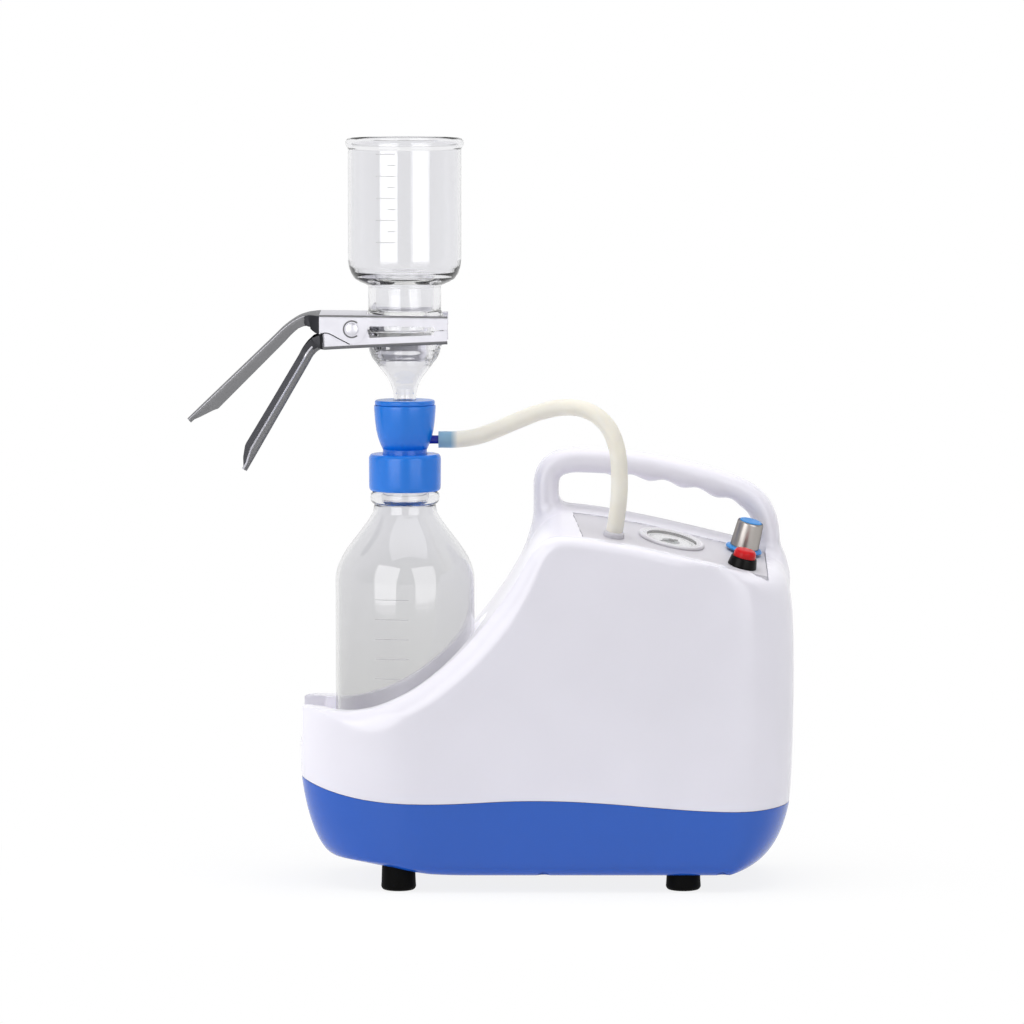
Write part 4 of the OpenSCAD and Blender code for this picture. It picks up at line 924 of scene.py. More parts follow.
def soft_box(name, azimuth, elevation, distance, width, height, watts, hidden):
    """A flat lamp that faces the object."""
    lamp = bpy.data.lights.new(name, "AREA")
    lamp.shape = "RECTANGLE"
    lamp.size, lamp.size_y, lamp.energy = width, height, watts
    obj = link(bpy.data.objects.new(name, lamp))
    az, el = math.radians(azimuth), math.radians(elevation)
    way = np.array([math.sin(az) * math.cos(el), -math.cos(az) * math.cos(el), math.sin(el)])
    obj.location = AIM_LIGHT + distance * way
    obj.rotation_euler = Vector(way).to_track_quat("Z", "Y").to_euler()
    for ray in hidden:
        setattr(obj, f"visible_{ray}", False)


for lamp in LAMPS:
    soft_box(*lamp)
bpy.context.scene.view_settings.view_transform = "Standard"
print("lamps", len(LAMPS))

# %% [markdown]
# ## Finishes
# Each finish is a procedural material, named for what the real piece is made of.
# Patterns read object coordinates in metres, so a scale of 1000 is one per
# millimetre. Two helpers serve them all: a colour that a pattern darkens a
# little, and a roughness that it moves up and down.


# %% Pattern helpers
def mottled(tree, pattern, colour, low, high, span=(0.3, 0.7)):
    """The colour times low where the pattern is weak, times high where it is strong."""
    base = np.array(rgb(colour)[:3])
    shades = [(*np.minimum(base * share, 1), 1.0) for share in (low, high)]
    return ramp(tree, pattern, list(zip(span, shades)))


def uneven(tree, pattern, roughness):
    """A roughness that a pattern moves by 15 percent either way."""
    ends = dict(To_Min=roughness * 0.85, To_Max=roughness * 1.15)
    return add(tree, "ShaderNodeMapRange", i0=pattern, **ends).outputs[0]


def noise(tree, at, scale, detail):
    return add(tree, "ShaderNodeTexNoise", Vector=at, Scale=scale, Detail=detail).outputs["Fac"]


print("materials before the finishes:", len(bpy.data.materials))

# %% [markdown]
# Most pieces are injection moulded. The mould gives an even colour with a trace
# of flow in it, and its skin leaves a texture so fine that it only breaks up the
# reflections. So one function makes all plastics and rubbers, and each finish
# says its colour, its gloss, and the pitch and depth of its skin in millimetres.


# %% Moulded ABS
def moulded(name, colour, roughness, texture_mm, relief_mm, tone=0.03, ior=1.53, shine=0.5):
    """Injection-moulded plastic: an even colour with a trace of flow, and a faint skin texture."""
    m, t, s = material(name, IOR=ior, Specular_IOR_Level=shine)
    at = place_on_piece(t)
    skin = noise(t, at, 1000.0 / texture_mm, 2.0)
    bump = add(t, "ShaderNodeBump", Height=skin, Strength=0.35, Distance=relief_mm * MM)
    feed(s, Base_Color=mottled(t, noise(t, at, 9.0, 2.0), colour, 1 - tone, 1 + tone),
        Roughness=uneven(t, skin, roughness), Normal=bump.outputs[0])
    return m


# Injection moulded in a polished tool: broad soft highlights on an even, slightly cool white.
white_abs = moulded("gloss_white_abs", "EFEDF6", 0.22, 1.2, 0.03)
# The same mould finish in solid blue, so its highlights match the housing's.
blue_abs = moulded("gloss_blue_abs", "1659C0", 0.22, 1.2, 0.03)
# A fine etched tool: flat light grey with hardly a highlight.
grey_abs = moulded("satin_grey_abs", "CCCAD0", 0.4, 0.7, 0.03)
# A thin moulded ring, a little lighter than the panel it lies on.
pale_abs = moulded("pale_grey_abs", "D8D6DB", 0.35, 0.7, 0.02)
# Black ABS with a low shine: its form shows only in a faint line of light.
black_abs = moulded("black_abs", "0A0909", 0.3, 0.6, 0.03, shine=0.1)
housing.data.materials.append(white_abs)
tray.data.materials.append(blue_abs)
print("case in", white_abs.name, "and", blue_abs.name)

# %% [markdown]
# The well's wall gets painted light: the white ABS glows faintly there, by the
# distance from the middle of the well, to brighten the wall where it lies in shade.

# %% Painted light on the well's wall
# Painted light: how strongly the well's wall glows, and between which distances from the middle it fades out.
PAINTED_WELL_LIGHT, PAINTED_LIGHT_FROM, PAINTED_LIGHT_TO, WELL_STRETCH = 0.38, 0.0572, 0.0598, 0.92
t = white_abs.node_tree
from_middle = add(t, "ShaderNodeMapping", Vector=place_on_piece(t), Scale=(WELL_STRETCH, 1.0, 0.0),
    Location=(-WELL_STRETCH * (AXIS_X - WELL_RUN / 2) * MM, 0.0, 0.0))
away = add(t, "ShaderNodeVectorMath", {"operation": "LENGTH"}, i0=from_middle.outputs[0]).outputs["Value"]
painted_well_light = add(t, "ShaderNodeMapRange", i0=away, From_Min=PAINTED_LIGHT_FROM, From_Max=PAINTED_LIGHT_TO, To_Min=PAINTED_WELL_LIGHT, To_Max=0.0)
feed(shader_of(white_abs), Emission_Color=rgb("EFEDF6"), Emission_Strength=painted_well_light.outputs[0])
print("glow out to", PAINTED_LIGHT_TO, "m")

# %% [markdown]
# Laboratory glass is borosilicate: nearly colourless, with a slow waviness from
# blowing. Its colour may change with height: on the bottle that is painted shade,
# darker low down, where it stands in a white well, and lighter in the open above.
# For shadows and soft light the wall counts as thin, so that what stands in the
# glass is lit. Full refraction of light through two curved walls would need very
# many samples.


# %% Borosilicate glass
def glassware(name, tints, **inputs):
    """Blown glass. tints are (height in millimetres, colour), from below."""
    m, t, s = material(name, Transmission_Weight=1.0, IOR=1.47, **inputs)
    height = add(t, "ShaderNodeSeparateXYZ", i0=place_on_piece(t)).outputs["Z"]
    place = add(t, "ShaderNodeMapRange", i0=height, From_Min=0.0, From_Max=0.6)
    flow = add(t, "ShaderNodeMapping", Vector=place_on_piece(t), Scale=(30.0, 30.0, 6.0))
    wave = noise(t, flow.outputs[0], 1.0, 1.0)
    bump = add(t, "ShaderNodeBump", Height=wave, Strength=0.25, Distance=0.4 * MM)
    tint = ramp(t, place.outputs[0], [(z / 600, rgb(c)) for z, c in tints])
    feed(s, Base_Color=tint, Normal=bump.outputs[0])
    rays = add(t, "ShaderNodeLightPath").outputs
    plain = maths(t, "MAXIMUM", rays["Is Shadow Ray"], rays["Is Diffuse Ray"])
    thin = add(t, "ShaderNodeBsdfTransparent", Color=(0.9, 0.9, 0.9, 1.0))
    mixed = add(t, "ShaderNodeMixShader", i0=plain, i1=s.outputs[0], i2=thin.outputs[0])
    feed(t.nodes["Material Output"], Surface=mixed.outputs[0])
    return m


# Clean clear glass: seen by its dark edges and its bright bands.
clear_glass = glassware("borosilicate_glass", [(0, "F0F0F2"), (600, "F0F0F2")], Roughness=0.0)
# The bottle is damp inside, so its reflections are a little wider. Its tint is greyer, with painted shade
# darker towards the bottom.
bottle_glass = glassware("damp_borosilicate_glass", [(90, "DFDFDE"), (200, "E6E6E7"), (260, "ECECEE")],
    Roughness=0.03, Specular_IOR_Level=0.3)
print("glass", clear_glass.name, "and", bottle_glass.name)

# %% [markdown]
# Cast silicone has a soft gloss, and light spreads inside it. Where the thin wall
# of the hose is stretched over the nozzle, the blue barb shows through it.


# %% Silicone
TINT_FROM, TINT_TO = 33, 38
# Extruded silicone: cream, with light inside it and a soft gloss.
cream_silicone, t, s = material("cream_silicone", Transmission_Weight=0.1, Roughness=0.35, IOR=1.41,
    Subsurface_Weight=0.4, Subsurface_Radius=(1.0, 0.9, 0.7), Subsurface_Scale=0.004)
cream = mottled(t, noise(t, place_on_piece(t), 60.0, 2.0), "FBF5E8", 0.95, 1.0)
reach = add(t, "ShaderNodeSeparateXYZ", i0=place_on_piece(t)).outputs["X"]
past_barb = add(t, "ShaderNodeMapRange", i0=reach,
    From_Min=(AXIS_X + TINT_FROM) * MM, From_Max=(AXIS_X + TINT_TO) * MM)
# A colour mix has its factor at input 0, its two colours at 6 and 7 and its result at output 2.
tinted = add(t, "ShaderNodeMix", {"data_type": "RGBA"}, i0=past_barb.outputs[0], i6=rgb("8FB8D2"), i7=cream)
feed(s, Base_Color=tinted.outputs[2])
vacuum_hose.data.materials.append(cream_silicone)
print("hose in", cream_silicone.name)

# %% [markdown]
# The metal pieces are pressed sheet, turned rod, wire and castings. Turning leaves
# a grain along one axis, so the noise can be stretched that way. The clamp is
# plated steel, bright where it is lit. Two darker copies of that steel are painted
# shade, for its folds, its bends and its levers.


# %% Metals
def metal(name, colour, roughness, brushed=None, scale_mm=0.3, edge="FFFFFF"):
    """Metal sheet or turned metal. brushed is the axis that the grain runs along."""
    m, t, s = material(name, Metallic=1.0, Specular_Tint=rgb(edge))
    stretch = [1000.0 / scale_mm] * 3
    if brushed is not None:
        stretch[brushed] /= 40.0
    at = add(t, "ShaderNodeMapping", Vector=place_on_piece(t), Scale=tuple(stretch)).outputs[0]
    grain = noise(t, at, 1.0, 3.0)
    feed(s, Roughness=uneven(t, grain, roughness))
    feed(s, Base_Color=mottled(t, grain, colour, 0.94, 1.0, (0.25, 0.75)))
    return m


# Rolled and nickel plated: a soft, light grey gleam.
steel_sheet = metal("plated_steel_sheet", "D6D5DC", 0.42, scale_mm=9.0)
# Painted shade for the levers, folds and rivet ring: the plated steel darker, and only partly a mirror of
# what is round it.
shaded_steel = metal("handled_steel_sheet", "7A7A7C", 0.55, scale_mm=9.0, edge="8C8C8C")
feed(shader_of(shaded_steel), Metallic=0.4)
# Painted deep shade, for the tight bends and the dark lines of the clamp: dark, with little reflection.
deep_shade_steel = metal("sheared_steel_bend", "4E4E52", 0.55, scale_mm=9.0, edge="505050")
# Zinc plated steel: cool, light and fairly smooth.
zinc_steel = metal("zinc_plated_steel", "C9CCD0", 0.35)
# Drawn wire: smooth along its length, with a narrow highlight.
spring_steel = metal("spring_steel_wire", "A9ACB2", 0.3)
# Turned brass: warm yellow.
brass = metal("brass", "C9A95A", 0.3)
# Turned and anodised: vertical bands of light that the lathe's grain draws out.
turned_silver = metal("turned_aluminium", "ABA6A2", 0.3, brushed=2, edge="B0B0B0")
# Die cast: a coarse, matt grey skin.
grey_cast = metal("cast_aluminium", "A8ABAE", 0.55, scale_mm=1.0)
print("clamp in", steel_sheet.name, shaded_steel.name, deep_shade_steel.name)

# %% [markdown]
# The small pieces are rubber, polypropylene, ABS, sintered powders and card. They
# differ in colour, gloss and how light bends at their skin, so each is one line.
# The gauge's window is almost clear, which here is a low alpha.

# %% Rubber and small plastics
# Moulded rubber: near black, with almost no shine.
rubber = moulded("black_rubber", "040404", 0.6, 0.5, 0.06, tone=0.1, ior=1.52, shine=0.06)
# Polypropylene is waxy: a bright blue under a soft gloss.
blue_pp = moulded("blue_polypropylene", "0678E2", 0.24, 0.8, 0.03, ior=1.49)
# The same plastic in dark blue, for the nozzle.
navy_pp = moulded("navy_polypropylene", "001C9C", 0.35, 0.8, 0.03, ior=1.49)
# Light blue ABS with a satin face.
sky_abs = moulded("sky_blue_abs", "3C8ED6", 0.3, 0.8, 0.02, shine=0.25)
# Polished red ABS: a small clear highlight on the button.
red_abs = moulded("gloss_red_abs", "CC1A20", 0.18, 0.8, 0.02, shine=0.15)
# Cast silicone for seals and inner lines: soft white.
white_silicone = moulded("white_silicone", "EDEDEA", 0.5, 0.6, 0.03, ior=1.41)
# Sintered glass beads: a chalky, grainy white.
frit = moulded("sintered_glass", "F0F0EE", 0.8, 0.3, 0.2, ior=1.47)
# A sheet of cellulose: matt, as paper is.
membrane = moulded("cellulose_membrane", "FBFBF8", 0.9, 0.2, 0.02, ior=1.47)
# Printed card behind the gauge's window.
dial_white = moulded("printed_dial_card", "E6E6E8", 0.6, 0.4, 0.01, tone=0.01)
# Stoved paint: dark grey with a slight orange peel.
motor_paint = moulded("grey_motor_paint", "4A4D52", 0.5, 0.9, 0.06)
# Sintered bronze: brown and open grained.
bronze = moulded("sintered_bronze", "8A6B3E", 0.6, 0.4, 0.2)
# The capacitor's moulded can: plain light grey.
can_case = moulded("capacitor_case", "D6D6D2", 0.45, 0.7, 0.02)
# Acrylic: almost unseen but for its reflection.
lens = moulded("acrylic_lens", "FFFFFF", 0.05, 2.0, 0.005)
feed(shader_of(lens), Alpha=0.15)
print("materials so far", len(bpy.data.materials))

# %% [markdown]
# Every CAD node gets the finish of its real piece. Nodes that are seen only from
# close by, or not at all, keep their CAD mesh and just take the finish.

# %% Finish of each node
finish_of = {}
for finish, names in (
    (bottle_glass, "bottle"),
    (clear_glass, "filter_base funnel"),
    (frit, "sintered_disc"),
    (membrane, "filter_membrane"),
    (blue_pp, "screw_ring filter_head head_lid"),
    (navy_pp, "hose_nozzle"),
    (white_silicone, "mouth_gasket stem_seal inlet_line gauge_line valve_line"),
    (steel_sheet, "clamp_upper_jaw clamp_lower_jaw clamp_pin"),
    (spring_steel, "clamp_spring"),
    (grey_abs, "control_panel inlet_fitting"),
    (pale_abs, "gauge_rim"),
    (dial_white, "gauge_dial"),
    (lens, "gauge_lens"),
    (turned_silver, "regulator_knob"),
    (sky_abs, "knob_cap knob_skirt"),
    (red_abs, "power_button"),
    (black_abs, "gauge_can gauge_needle button_surround button_switch cooling_fan mains_inlet wire_loom"),
    (rubber, "foot_front_left foot_front_right foot_back_left foot_back_right pump_dampers"),
    (zinc_steel, "foot_screws case_screws knob_spindle pump_plate motor_shaft"),
    (brass, "regulator_valve vacuum_manifold"),
    (motor_paint, "pump_motor"),
    (grey_cast, "pump_body"),
    (bronze, "silencer"),
    (can_case, "run_capacitor"),
):
    finish_of.update(dict.fromkeys(names.split(), finish))
for name, finish in finish_of.items():
    obj = nodes[name]
    if not obj.material_slots:
        obj.data.materials.append(finish)
    for cell in obj.material_slots:
        cell.material = finish
print("finishes on", len(finish_of), "nodes")

# %% [markdown]
# ## Turned pieces
# Glass, caps, knobs and rims are turned forms. Each is a closed outline of radius
# and height, carried once round its axis. A Screw modifier would turn it as well,
# but not about a leaning axis on the deck. No real edge is quite sharp, so every
# corner of an outline is first rounded a little: the thin highlight that runs
# along such an edge is what makes a piece look moulded, ground or blown.


# %% Turning helpers
def soften(outline, radius, steps=4):
    """A closed outline with its corners rounded off."""
    p, out = np.array(outline, dtype=float), []
    for k in range(len(p)):
        b = p[k]
        back, ahead = p[k - 1] - b, p[(k + 1) % len(p)] - b
        la, lb = np.hypot(*back), np.hypot(*ahead)
        turn = math.degrees(math.acos(np.clip(-(back @ ahead) / (la * lb), -1, 1)))
        cut = min(radius, 0.45 * la, 0.45 * lb)
        if turn < 8 or b[0] < 1e-6 or cut < 0.02:
            out.append(b)
            continue
        s, e, t = b + back / la * cut, b + ahead / lb * cut, np.linspace(0, 1, steps + 1)[:, None]
        out += list((1 - t) ** 2 * s + 2 * (1 - t) * t * b + t**2 * e)
    return np.array(out)


def axes_on(up):
    """Two directions square to an axis and to each other."""
    side = np.cross((0.0, 1.0, 0.0), up)
    side /= np.linalg.norm(side)
    return side, np.cross(up, side)


ON_AXIS = np.zeros(3), np.array([0.0, 0.0, 1.0])


def turned(name, outline, radius=0.5, sides=96, place=ON_AXIS):
    """A turned solid about the bottle's axis, or about a place on the deck: (foot, normal)."""
    p = soften(outline, radius)
    r, z = p.T
    if np.sum(r * np.roll(z, -1) - np.roll(r, -1) * z) < 0:
        p = p[::-1]
    foot, up = place
    side, ahead = axes_on(up)
    angle = np.linspace(0, 2 * math.pi, sides, endpoint=False)
    points, rows = [], []
    for r, z in p:
        turns = [0.0] if r < 1e-6 else angle
        rows.append([len(points) + k for k in range(len(turns))])
        points += [foot + r * (math.cos(a) * side + math.sin(a) * ahead) + z * up for a in turns]
    faces = []
    for low, high in zip(rows, rows[1:] + rows[:1]):
        for k in range(sides):
            a, b = low[k % len(low)], low[(k + 1) % len(low)]
            c, d = high[(k + 1) % len(high)], high[k % len(high)]
            ring = [v for n, v in enumerate((a, b, c, d)) if v not in (a, b, c, d)[:n]]
            if len(ring) > 2:
                faces.append(ring)
    return solid(name, points, faces)


def dress(obj, node, *finishes):
    """obj stands for a CAD node: it takes the node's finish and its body."""
    for finish in finishes or (finish_of[node],):
        obj.data.materials.append(finish)
    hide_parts(node)
    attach(obj, body_of(nodes[node])[0])
    return obj


def lifted(outline, height):
    return [(r, height + z) for r, z in outline]


print("a square corner becomes", len(soften([(1, 0), (9, 0), (9, 9), (1, 9)], 1)) // 4, "points")

# %% [markdown]
# The glassware stands on one axis. The bottle has a cone-shaped shoulder, a bead
# under its screw neck and a wall of 2.4 mm, which the outline follows outside and
# then back inside.

# %% Bottle
shoulder = bezier([50.2, 138], [50.2, 157], [30, 172], [22.2, 188.5], 24)
inner_shoulder = shoulder[::-1] - [2.4, 0.8]
bottle = turned("glass_bottle", lifted([
    (0, 2.5), (34, 1.5), (38, 0), (43, 0), (47.5, 2.4), (49.8, 7), (50.2, 12), *shoulder, (22.1, 192.6),
    (23.6, 193.4), (24.7, 195), (25, 197.4), (24.7, 199.8), (23.6, 201.4), (22.2, 202.2), (22.2, 220),
    (20.7, 222), (16, 222), (15.5, 221), (15.5, 203), (19.6, 191), *inner_shoulder,
    (47.8, 15), (46.4, 9.4), (43, 6.2), (38, 5), (0, 6)], WELL_Z), 0.9)
dress(bottle, "bottle")
print("bottle", len(bottle.data.polygons), "faces")

# %% [markdown]
# Funnel and base are blown and then ground flat where they meet, with the filter
# between them. The funnel's rim is rolled outward. BOWL is where its neck opens.

# %% Funnel and filter base
JOIN, BOWL, GROUND_GAP = 398.0, 31.5, 0.15
funnel = turned("glass_funnel", lifted([
    (19, 0), (29, 0), (29, 4.3), (27.3, 12.4), (26.15, 14.6), (26.15, BOWL), (27.5, BOWL + 1.3),
    (32, BOWL + 3.2), (35.9, BOWL + 5.4), (38.6, BOWL + 9.3), (40.2, BOWL + 14), (40.8, BOWL + 19),
    (40.8, 130.6), (41.6, 131.6), (42.5, 133), (42.7, 134.6), (42.2, 136.6), (40.8, 137.9), (39.6, 137.8),
    (38.8, 136.4), (38.6, 134),
    (38.6, BOWL + 19.5), (37.9, BOWL + 15), (36, BOWL + 11), (32.6, BOWL + 7.8), (24, BOWL + 5.4),
    (21.8, BOWL + 2.6), (21.2, BOWL - 2), (21.2, 14), (19, 6)], JOIN + GROUND_GAP), 1.2)
dress(funnel, "funnel")
base = turned("glass_filter_base", lifted([
    (29, 0), (29, -4.3), (27.2, -10.4), (25.9, -13), (25.2, -16), (23.4, -20), (20, -24.4), (16.5, -29),
    (13.3, -33), (10.8, -37.4), (9, -42), (8.2, -46), (8, -49.9), (8, -102), (6, -104), (6, -46), (6.9, -42),
    (8.5, -37.4), (10.8, -33), (13.8, -28.6), (16.6, -24.4), (18, -20), (17.5, -16), (17.5, -4.1),
    (19.6, -4.1), (19.6, 0)], JOIN - GROUND_GAP), 0.8)
dress(base, "filter_base")
print("funnel", len(funnel.data.polygons), "faces, base", len(base.data.polygons))

# %% [markdown]
# The head is a moulded bowl with a thin lid let into it. The base's stem passes
# through both, and the screw ring below holds the head on the bottle's neck.

# %% Blue head, lid and ring
head = turned("head_bowl", [(10.5, 289.5), (14.6, 289.5), (14.6, 303.5), (21.2, 303.5), (21.2, 306),
    (16, 306), (15.9, 312.2), (16.6, 313.2), (17.8, 316), (19.4, 320.5), (20.7, 326), (21.6, 333),
    (22.2, 341), (22.25, 344), (19, 344), (19, 319.5), (17, 316.9), (10.5, 315)], 0.7)
dress(head, "filter_head")
lid = turned("head_lid_disc", [(8.3, 344), (12.1, 344), (12.1, 338), (18.8, 338), (18.8, 344), (21.55, 344.2),
    (21.7, 346.6), (20.9, 347.6), (8.3, 347.6)], 0.5)
dress(lid, "head_lid")
ring = turned("bottle_screw_ring", [(22.8, 282.1), (24.6, 282.1), (25.7, 283.6), (25.9, 286), (26, 306.4),
    (24.6, 308.7), (16.3, 308.7), (16.3, 306.3), (22.8, 306.3)], 1.0)
dress(ring, "screw_ring")
print("head, lid and ring", sum(len(o.data.polygons) for o in (head, lid, ring)), "faces")

# %% [markdown]
# The nozzle leaves the head sideways and ends in three barbs that grip the hose.
# Its outline is turned about a level line, from radius and distance along it.

# %% Hose nozzle
NOZZLE_Z = 319
barb = soften([(1.6, 16.5), (3.2, 16.5), (3.05, 18.6), (3.0, 25.4), (3.3, 27), (4.0, 27.6), (3.3, 30.6),
    (4.0, 31.2), (3.3, 34.2), (4.0, 34.8), (3.1, 38.6), (1.6, 39)], 0.25)
turn_by = np.linspace(0, 2 * math.pi, 40, endpoint=False)
rings = [[(h, r * math.cos(a), NOZZLE_Z + r * math.sin(a)) for a in turn_by] for r, h in barb]
nozzle = solid("barbed_nozzle", *rings_mesh(rings, closed_line=True))
dress(nozzle, "hose_nozzle")
print("nozzle", len(nozzle.data.polygons), "faces")

# %% [markdown]
# ## Fittings on the deck
# Knob, button and hose fitting stand square to the sloping deck, each at its own
# place. All are turned, so they differ only in their outline and their place.
# Heights are counted from the deck: what is below 0 goes through the panel.

# %% Knob, button and fitting
FITTINGS = (
    # name, CAD node, place, edge radius, sides, outline
    ("knob_body", "regulator_knob", KNOB, 0.3, 96, [
        (3, 3.4), (10.4, 3.4), (10.5, 4.4), (9.5, 21.6), (9.1, 22.4), (8.3, 22.6), (8.1, 21.4), (0, 21.4),
        (0, 15.4), (3, 15.4)]),
    ("knob_cap_disc", "knob_cap", KNOB, 0.3, 64, [
        (0, 21.4), (8.05, 21.4), (8.05, 22.8), (7.6, 23.2), (0, 23.3)]),
    ("knob_skirt_disc", "knob_skirt", KNOB, 0.3, 96, [
        (3, 1.2), (13.2, 1.2), (13.3, 2.2), (12.6, 2.9), (10.3, 3.4), (3, 3.4)]),
    ("button_ring", "button_surround", BUTTON, 0.4, 96, [
        (8.25, -9.7), (9.1, -9.7), (9.1, -0.7), (10.6, -0.7), (10.4, 0.6), (9.4, 5.6), (8.9, 6.3),
        (8.25, 6.3)]),
    ("button_cap", "power_button", BUTTON, 0.9, 96, [
        (0, -12.8), (3, -12.8), (3, -0.8), (8, -0.8), (8.05, 8), (7.8, 10), (6.8, 11.4), (4.6, 12),
        (0, 12.2)]),
    ("hose_fitting", "inlet_fitting", FITTING, 0.4, 64, [
        (1.8, -26), (3.4, -26), (4, -22), (3.2, -21.5), (3.2, -9), (7.5, -9), (7.5, -5.6), (4.4, -5.6),
        (4.4, -0.8), (7.6, -0.8), (7.5, 2.4), (6.9, 3.2), (3.5, 3.3), (3.3, 13), (3, 14), (1.8, 14)]),
)
for name, node, place, edge, sides, outline in FITTINGS:
    dress(turned(name, outline, edge, sides, deck_place(*place)), node)
print("fittings", len(FITTINGS))

# %% [markdown]
# The four feet are one turned rubber form. The underside of the case is curved
# where they stand, so the top of each foot is lifted, point by point, until it
# ends just inside the tray. That height is found by going up a column of points
# until the body's field turns negative.

# %% Feet
FOOT_OUTLINE = [(2.3, 5), (4.6, 5), (4.6, 0.8), (8.4, 0), (11.2, 0.6), (12.6, 2.6), (12.3, 6), (11.9, 12),
    (2.3, 12)]
FOOT_TOP = 9.0  # points over this height are the top
SUNK = 1.0
rise = np.arange(KEEL_Z - 4, KEEL_Z + 24, 0.25)
for node in ("foot_front_left", "foot_front_right", "foot_back_left", "foot_back_right"):
    (x0, y0, z0), (x1, y1, z1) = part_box(node)
    middle = np.array([(x0 + x1) / 2 / MM - AXIS_X, (y0 + y1) / 2 / MM, z0 / MM])
    foot = turned(node.replace("foot", "rubber_foot"), FOOT_OUTLINE, 1.0, 64, (middle, ON_AXIS[1]))
    for v in foot.data.vertices:
        if v.co.z > FOOT_TOP * MM:
            column = np.full(len(rise), v.co.x / MM - AXIS_X), np.full(len(rise), v.co.y / MM), rise
            keel = rise[np.argmax(body_field(*column) < 0)]
            v.co.z += (keel - KEEL_Z + SUNK) * MM
    dress(foot, node)
print("feet", len(foot.data.polygons), "faces each")

# %% [markdown]
# The gauge is let into the panel. A thin bezel lies on its edge, and a flat window
# closes it.

# %% Gauge
gauge_at = deck_place(*GAUGE)
bezel = turned("gauge_bezel", [(18.5, 0.5), (20.8, 0.5), (20.8, -0.7), (24.2, -0.7), (24.2, 0.5), (23.6, 1.3),
    (22.6, 1.6), (21.9, 1.4), (21.6, 1.1), (18.5, 1.1)], 0.4, 128, gauge_at)
dress(bezel, "gauge_rim")
pane = [(0, 1.15), (21.5, 1.15), (21.5, 1.35), (20.4, 1.45), (0, 1.5)]
window = turned("gauge_window", pane, 0.2, 96, gauge_at)
dress(window, "gauge_lens")
print("gauge", len(bezel.data.polygons) + len(window.data.polygons), "faces")

# %% [markdown]
# ## Marks that repeat
# The scale lines of the glassware and the ticks of the dial are the same small
# shape many times, so Geometry Nodes lays them out. An input is set by its
# socket's identifier. The result is turned into a plain mesh at once, because a
# finished piece has no live modifier.


# %% Geometry Nodes helpers
FLOAT, WHOLE = "NodeSocketFloat", "NodeSocketInt"


def group(name, numbers):
    """A new geometry tree with named number inputs: (tree, input sockets, output node)."""
    t = bpy.data.node_groups.new(name, "GeometryNodeTree")
    t.interface.new_socket("Geometry", in_out="INPUT", socket_type="NodeSocketGeometry")
    for label, kind in numbers.items():
        t.interface.new_socket(label, in_out="INPUT", socket_type=kind)
    t.interface.new_socket("Geometry", in_out="OUTPUT", socket_type="NodeSocketGeometry")
    return t, add(t, "NodeGroupInput").outputs, add(t, "NodeGroupOutput")


def finish_tree(tree, out, geometry, finish):
    """The end of each tree: real geometry with its material."""
    real = add(tree, "GeometryNodeRealizeInstances", Geometry=geometry)
    paint = add(tree, "GeometryNodeSetMaterial", Geometry=real.outputs[0], Material=finish)
    tree.links.new(paint.outputs[0], out.inputs[0])


def grown(name, tree, finish, **values):
    """The mesh that the tree makes with these inputs, as an object of its own."""
    mesh = bpy.data.meshes.new(name)
    obj = link(bpy.data.objects.new(name, mesh))
    mesh.materials.append(finish)
    way = obj.modifiers.new("marks", "NODES")
    way.node_group = tree
    for item in tree.interface.items_tree:
        label = item.name.replace(" ", "_")
        if item.in_out == "INPUT" and label in values:
            way[item.identifier] = values[label]
    obj.update_tag()
    bpy.context.view_layer.update()
    made = bpy.data.meshes.new_from_object(obj.evaluated_get(bpy.context.evaluated_depsgraph_get()))
    obj.modifiers.remove(way)
    obj.data = made
    made.name = name
    if not made.materials:
        made.materials.append(finish)
    return obj


print("number inputs are", FLOAT, "and", WHOLE)

# %% [markdown]
# The scale lines are thin raised enamel. The tree puts arcs on a vertical wall,
# evenly spaced in height, in two lengths by turns. The same tree serves both
# vessels, with other numbers.

# %% Scale lines
LINE_R = 0.28
deg = math.radians
# Fired enamel: flat pale grey lines on the glass.
enamel = moulded("grey_scale_enamel", "C4C2C6", 0.5, 0.4, 0.005)
scale_tree, given, out = group("scale_lines", {"Count": WHOLE, "Step": FLOAT, "Lowest": FLOAT,
    "Radius": FLOAT, "Right End": FLOAT, "Long Sweep": FLOAT, "Short Sweep": FLOAT, "Axis": FLOAT})
t = scale_tree
start = add(t, "ShaderNodeCombineXYZ", X=given["Axis"], Z=given["Lowest"])
step = add(t, "ShaderNodeCombineXYZ", Z=given["Step"])
spots = add(t, "GeometryNodeMeshLine", Count=given["Count"], Start_Location=start.outputs[0],
    Offset=step.outputs[0])
odd = maths(t, "MODULO", add(t, "GeometryNodeInputIndex").outputs[0], 2.0)
wire = add(t, "GeometryNodeCurvePrimitiveCircle", Resolution=6, Radius=LINE_R * MM)
both = add(t, "GeometryNodeJoinGeometry")
for sweep, chosen in (("Long Sweep", maths(t, "SUBTRACT", 1.0, odd)), ("Short Sweep", odd)):
    begin = maths(t, "SUBTRACT", given["Right End"], given[sweep])
    arc = add(t, "GeometryNodeCurveArc", Resolution=24, Radius=given["Radius"], Start_Angle=begin,
        Sweep_Angle=given[sweep])
    line = add(t, "GeometryNodeCurveToMesh", Curve=arc.outputs[0], Profile_Curve=wire.outputs[0],
        Fill_Caps=True)
    marks = add(t, "GeometryNodeInstanceOnPoints", Points=spots.outputs[0], Selection=chosen,
        Instance=line.outputs[0])
    t.links.new(marks.outputs[0], both.inputs[0])
finish_tree(t, out, both.outputs[0], enamel)
funnel_marks = grown("funnel_scale", scale_tree, enamel, Count=9, Step=7.88 * MM, Lowest=463 * MM,
    Radius=40.85 * MM, Right_End=deg(-99), Long_Sweep=deg(20.5), Short_Sweep=deg(7.5), Axis=AXIS_X * MM)
